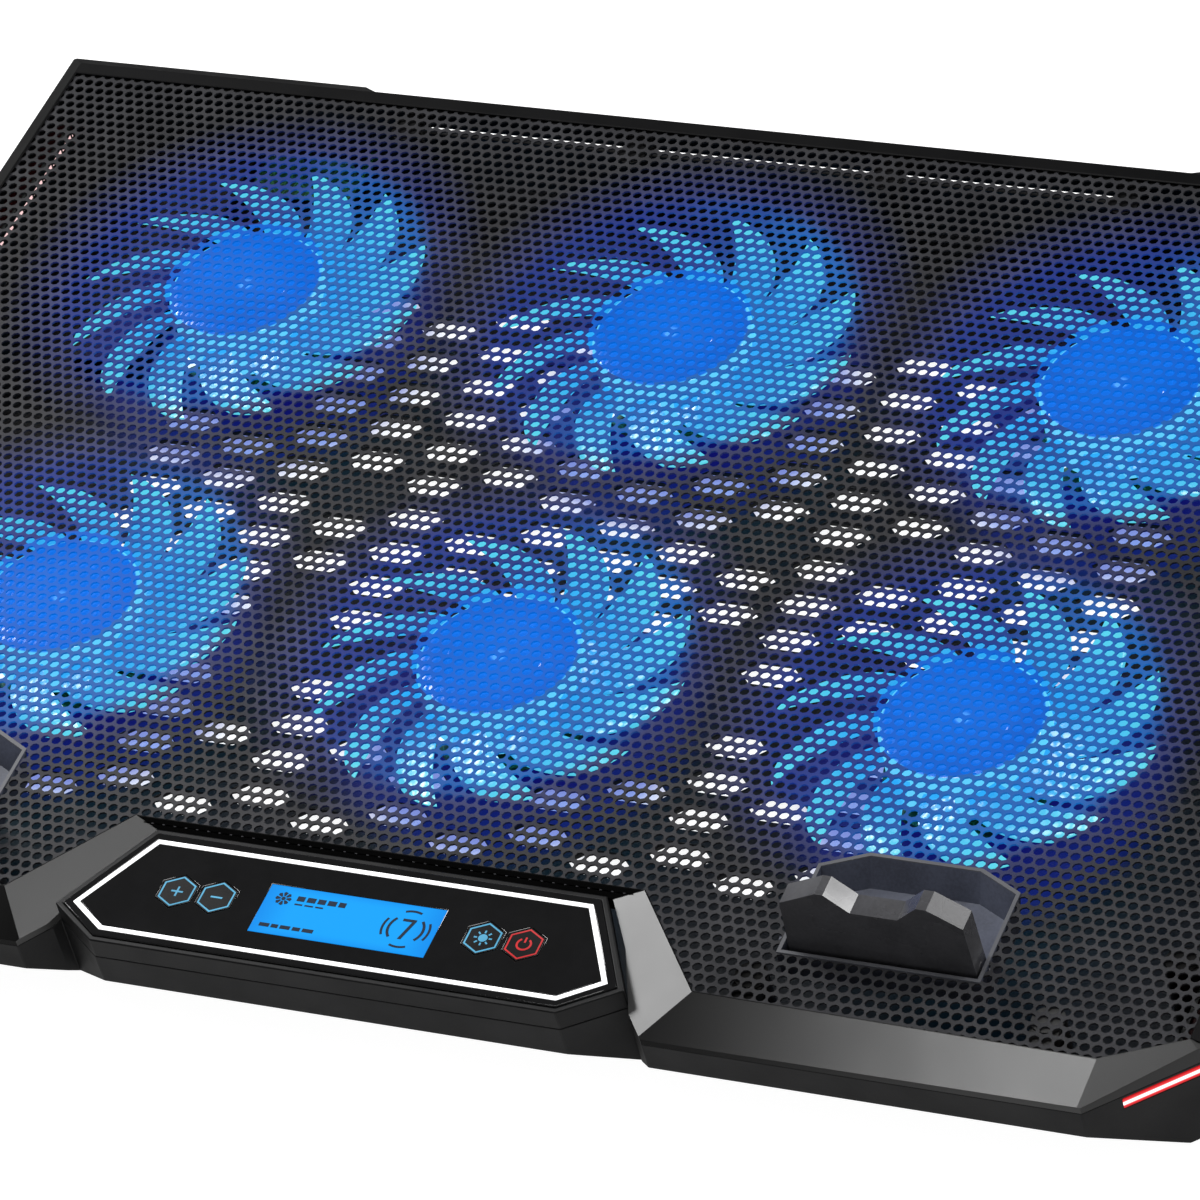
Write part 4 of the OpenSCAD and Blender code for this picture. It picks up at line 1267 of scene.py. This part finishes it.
@dataclass
class Casing:
    """Shell, deck frame, front trim, trays and stops.

    Attributes:
        rounding: Width of the rounding of each single node's edges, and its finish.
        pairs: The same for the nodes that there are a left and a right one of.
    """

    rounding: dict[str, tuple[float, Finish]] = field(default_factory=lambda: {
        "top_frame": (0.35, Palette.RIM),
        "front_trim": (0.3, Palette.TRIM),
        "bottom_shell": (0.35, Palette.SHELL),
        "usb_power_socket": (0.12, Palette.SOCKET),
        "usb_device_socket": (0.12, Palette.SOCKET),
    })
    pairs: dict[str, tuple[float, Finish]] = field(default_factory=lambda: {
        "stop_tray": (0.25, Palette.TRAY),
        "stop": (0.6, Palette.STOP),
        "leg": (0.7, Palette.BLACK),
        "leg_tip": (0.9, Palette.RUBBER),
        "side_light": (0.2, Palette.PIPE),
    })

    def build(self) -> None:
        """Round and dress each piece."""
        sides = {f"{name}_{side}": how for name, how in self.pairs.items() for side in ("left", "right")}
        for node, (width, finish) in (self.rounding | sides).items():
            put(f"{node}_moulding", softened(node, width), finish, body_of(node), [node], smooth=None)


@dataclass
class Underside:
    """Feet, screws and what else repeats below the pad.

    Attributes:
        cross: Half length and half width of a screw's cross recess.
    """

    cross: Point = (1.7, 0.35)

    def foot(self, radius: float, height: float) -> bpy.types.Mesh:
        """A rubber foot with a rounded edge and two grip rings."""
        profile = [
            (0, 0.35), (radius * 0.38, 0.35), (radius * 0.42, 0), (radius * 0.58, 0), (radius * 0.62, 0.35),
            (radius * 0.72, 0.35), (radius * 0.76, 0), (radius - 0.6, 0), (radius - 0.15, 0.2), (radius, 0.7),
            (radius, height), (0, height),
        ]
        return Draft().lathe(profile, 40).mesh("foot")

    def screw(self, radius: float, head: float, thread: float, length: float) -> bpy.types.Mesh:
        """A pan-head screw whose head is at its lower end, with a cross recess."""
        long, short = self.cross
        corners = []
        for k in range(4):
            turn = math.tau * k / 4
            for px, py in ((long, -short), (long, short), (short, short)):
                corners.append((px * math.cos(turn) - py * math.sin(turn), px * math.sin(turn) + py * math.cos(turn)))
        sides = len(corners)
        angles = [math.atan2(p[1], p[0]) for p in corners]

        def ring(r: float, z: float) -> list[tuple[float, float, float]]:
            """Points of one circle, at the corners' own angles."""
            return [(r * math.cos(a), r * math.sin(a), z) for a in angles]

        rings = [
            [(px * 0.5, py * 0.5, 1.3) for px, py in corners],
            [(px, py, 0.15) for px, py in corners],
            ring(radius * 0.85, 0.15), ring(radius, 0.7), ring(radius, head), ring(thread, head),
            ring(thread, length),
        ]
        points = [p for row in rings for p in row]
        faces = [list(range(sides)), [sides * (len(rings) - 1) + k for k in range(sides)][::-1]]
        for j in range(len(rings) - 1):
            for k in range(sides):
                after = (k + 1) % sides
                faces.append([sides * j + k, sides * j + after, sides * (j + 1) + after, sides * (j + 1) + k])
        return Draft().add(points, faces).mesh("screw")

    def build(self) -> None:
        """Repeat the feet and the screws where the CAD has them."""
        feet = islands("rubber_feet")
        size = feet[0][1] - feet[0][0]
        spots = [Vector(((low.x + high.x) / 2, (low.y + high.y) / 2, low.z)) for low, high in feet]
        mesh = repeated("feet", self.foot(size.x / 2, size.z), spots, Palette.RUBBER)
        put("feet", mesh, Palette.RUBBER, body_of("rubber_feet"), ["rubber_feet"])
        screws = islands("case_screws")
        size = screws[0][1] - screws[0][0]
        spots = [Vector(((low.x + high.x) / 2, (low.y + high.y) / 2, low.z)) for low, high in screws]
        mesh = repeated("screws", self.screw(size.x / 2, 2.4, 1.45, size.z), spots, Palette.STEEL)
        put("screws", mesh, Palette.STEEL, body_of("case_screws"), ["case_screws"], smooth=40)


@dataclass
class Workings:
    """CAD nodes that keep their shape and only get a finish."""

    finishes: dict[str, Finish] = field(default_factory=lambda: {
        "lcd_backlight": Palette.BACKLIGHT,
        "control_board": Palette.BOARD,
        "key_switches": Palette.STEEL,
        "side_led_board_left": Palette.EDGE_LED,
        "side_led_board_right": Palette.EDGE_LED,
        "motor_bushes": Palette.BRONZE,
        "motor_stators": Palette.WINDING,
        "motor_boards": Palette.BOARD,
        "fan_leds": Palette.LED,
        "usb_board": Palette.BOARD,
        "board_screws": Palette.STEEL,
        "leg_pins": Palette.STEEL,
        "stop_pin_left": Palette.STEEL,
        "stop_pin_right": Palette.STEEL,
    })

    def build(self) -> None:
        """Dress every node that isn't replaced."""
        turning = {"shaft": Palette.STEEL, "magnet": Palette.MAGNET}
        fans = {n: turning[n.split("_")[0]] for n in frame["nodes"] if n.split("_")[0] in turning}
        for node, finish in (self.finishes | fans).items():
            data = frame["nodes"][node].data
            data.materials.clear()
            data.materials.append(finish.material())
            LOG.info("%s wears %s", node, finish.slot)


# ---------------------------------------------------------------- studio


@dataclass(frozen=True)
class Studio:
    """White floor, soft lights and the camera.

    Attributes:
        azimuth: Camera angle to the right of the front, in degrees.
        elevation: Camera angle above the floor, in degrees.
        roll: Turn of the picture, in degrees.
        lens: Focal length on a 36 mm sensor.
        shift: Place of the pad in the camera's own axes, in metres.
        aim: The point of the pad that the camera turns about, in metres.
        lamps: Name, place, size and power of each light, and whether it shows in gloss.
        white: How bright the floor and the surroundings look, and how much light each gives.
    """

    azimuth: float = 32.737
    elevation: float = 42.304
    roll: float = -15.973
    lens: float = 208.78
    shift: tuple[float, float, float] = (-0.0037367, 0.0284618, -1.7061)
    aim: tuple[float, float, float] = (0.0, 0.01635, 0.030)
    lamps: tuple[tuple[str, Sequence[float], Sequence[float], float, bool], ...] = (
        ("left", (-1.45, 0.75, 1.25), (0.5, 0.7), 22, True),
        ("above", (-0.02, 0.0, 0.66), (0.2, 0.3), 2.0, True),
        ("back", (1.15, 1.1, 0.98), (0.7, 0.5), 16, True),
        ("front", (0.9, -1.3, 0.7), (0.8, 0.5), 3, False),
    )
    white: tuple[Point, Point] = ((0.94, 0.26), (1.05, 0.3))

    def camera(self) -> None:
        """Place the camera."""
        a, e, r = (math.radians(v) for v in (self.azimuth, self.elevation, self.roll))
        back = Vector((math.sin(a) * math.cos(e), -math.cos(a) * math.cos(e), math.sin(e)))
        right = Vector((math.cos(a), math.sin(a), 0))
        up = back.cross(right)
        turn = Matrix((
            right * math.cos(r) + up * math.sin(r), up * math.cos(r) - right * math.sin(r), back,
        ))
        data = bpy.data.cameras.new("camera")
        data.lens = self.lens
        data.sensor_width = 36
        data.clip_start = 0.05
        camera = bpy.data.objects.new("camera", data)
        place = turn.transposed() @ -Vector(self.shift) + Vector(self.aim)
        camera.matrix_world = Matrix.Translation(place) @ turn.transposed().to_4x4()
        bpy.context.scene.collection.objects.link(camera)
        bpy.context.scene.camera = camera

    def light(self, name: str, place: Sequence[float], size: Sequence[float], power: float, mirrored: bool) -> None:
        """Add a soft area light that looks at the pad.

        Args:
            name: Its name.
            place: Where it stands, in metres.
            size: Its width and height.
            power: Its power in watts.
            mirrored: Whether it shows in gloss.
        """
        data = bpy.data.lights.new(name, "AREA")
        data.shape = "RECTANGLE"
        data.size, data.size_y = size
        data.energy = power
        lamp = bpy.data.objects.new(name, data)
        aim = Vector(self.aim) - Vector(place)
        lamp.matrix_world = Matrix.Translation(place) @ aim.to_track_quat("-Z", "Y").to_matrix().to_4x4()
        lamp.visible_camera = False
        lamp.visible_glossy = mirrored
        bpy.context.scene.collection.objects.link(lamp)

    def floor(self) -> None:
        """A plain white floor that also shows through the pad's slots, with a painted blue glow of the fans under
        each of them.
        """
        mesh = bpy.data.meshes.new("floor")
        half, level = 6.0, -0.5 * MM
        corners = [(x * half, y * half, level) for x, y in ((-1, -1), (1, -1), (1, 1), (-1, 1))]
        mesh.from_pydata(corners, [], [(0, 1, 2, 3)])
        floor = bpy.data.objects.new("floor", mesh)
        bpy.context.scene.collection.objects.link(floor)
        material = bpy.data.materials.new("floor_white")
        material.use_nodes = True
        material.node_tree.nodes.clear()
        patch = Patch(material.node_tree)
        seen = patch.node("ShaderNodeLightPath", outlet="Is Camera Ray")
        radius, _ = FANS.polar(patch)
        # Painted blue glow of the fans on the floor beneath them.
        painted_fan_glow = patch.blend(radius.rise(FANS.tip + 1 * MM, FANS.tip - 12 * MM), (1, 1, 1, 1), tone(128, 144, 220))
        look, give = self.white[0]
        glow = patch.node("ShaderNodeEmission", sockets={"Color": painted_fan_glow, "Strength": seen * (look - give) + give})
        matt = patch.node("ShaderNodeBsdfDiffuse", sockets={"Color": (0.4, 0.4, 0.4, 1)})
        both = patch.node("ShaderNodeAddShader", sockets={0: glow, 1: matt})
        patch.node("ShaderNodeOutputMaterial", sockets={"Surface": both})
        mesh.materials.append(material)

    def surroundings(self) -> None:
        """White to look at, and a mild grey as light."""
        world = bpy.data.worlds.new("surroundings")
        bpy.context.scene.world = world
        world.use_nodes = True
        world.node_tree.nodes.clear()
        patch = Patch(world.node_tree)
        seen = patch.node("ShaderNodeLightPath", outlet="Is Camera Ray")
        mirrored = patch.node("ShaderNodeLightPath", outlet="Is Glossy Ray")
        look, give = self.white[1]
        level = seen * (look - give) - mirrored * 0.22 + give
        glow = patch.node("ShaderNodeBackground", sockets={"Color": (1, 1, 1, 1), "Strength": level})
        patch.node("ShaderNodeOutputWorld", sockets={"Surface": glow})

    def build(self) -> None:
        """Set the whole studio up."""
        self.camera()
        self.floor()
        self.surroundings()
        for lamp in self.lamps:
            self.light(*lamp)
        bpy.context.scene.view_settings.view_transform = "Standard"


def main() -> None:
    """Build the pad, piece by piece, and its studio."""
    logging.basicConfig(level=logging.INFO, format="%(name)s: %(message)s")
    Studio().build()
    PerforatedDeck().build()
    for row in ("back", "front"):
        for column in ("left", "centre", "right"):
            Fan(f"{row}_{column}").build()
    ControlPanel().build()
    Casing().build()
    Underside().build()
    Workings().build()


if __name__ == "__main__":
    main()
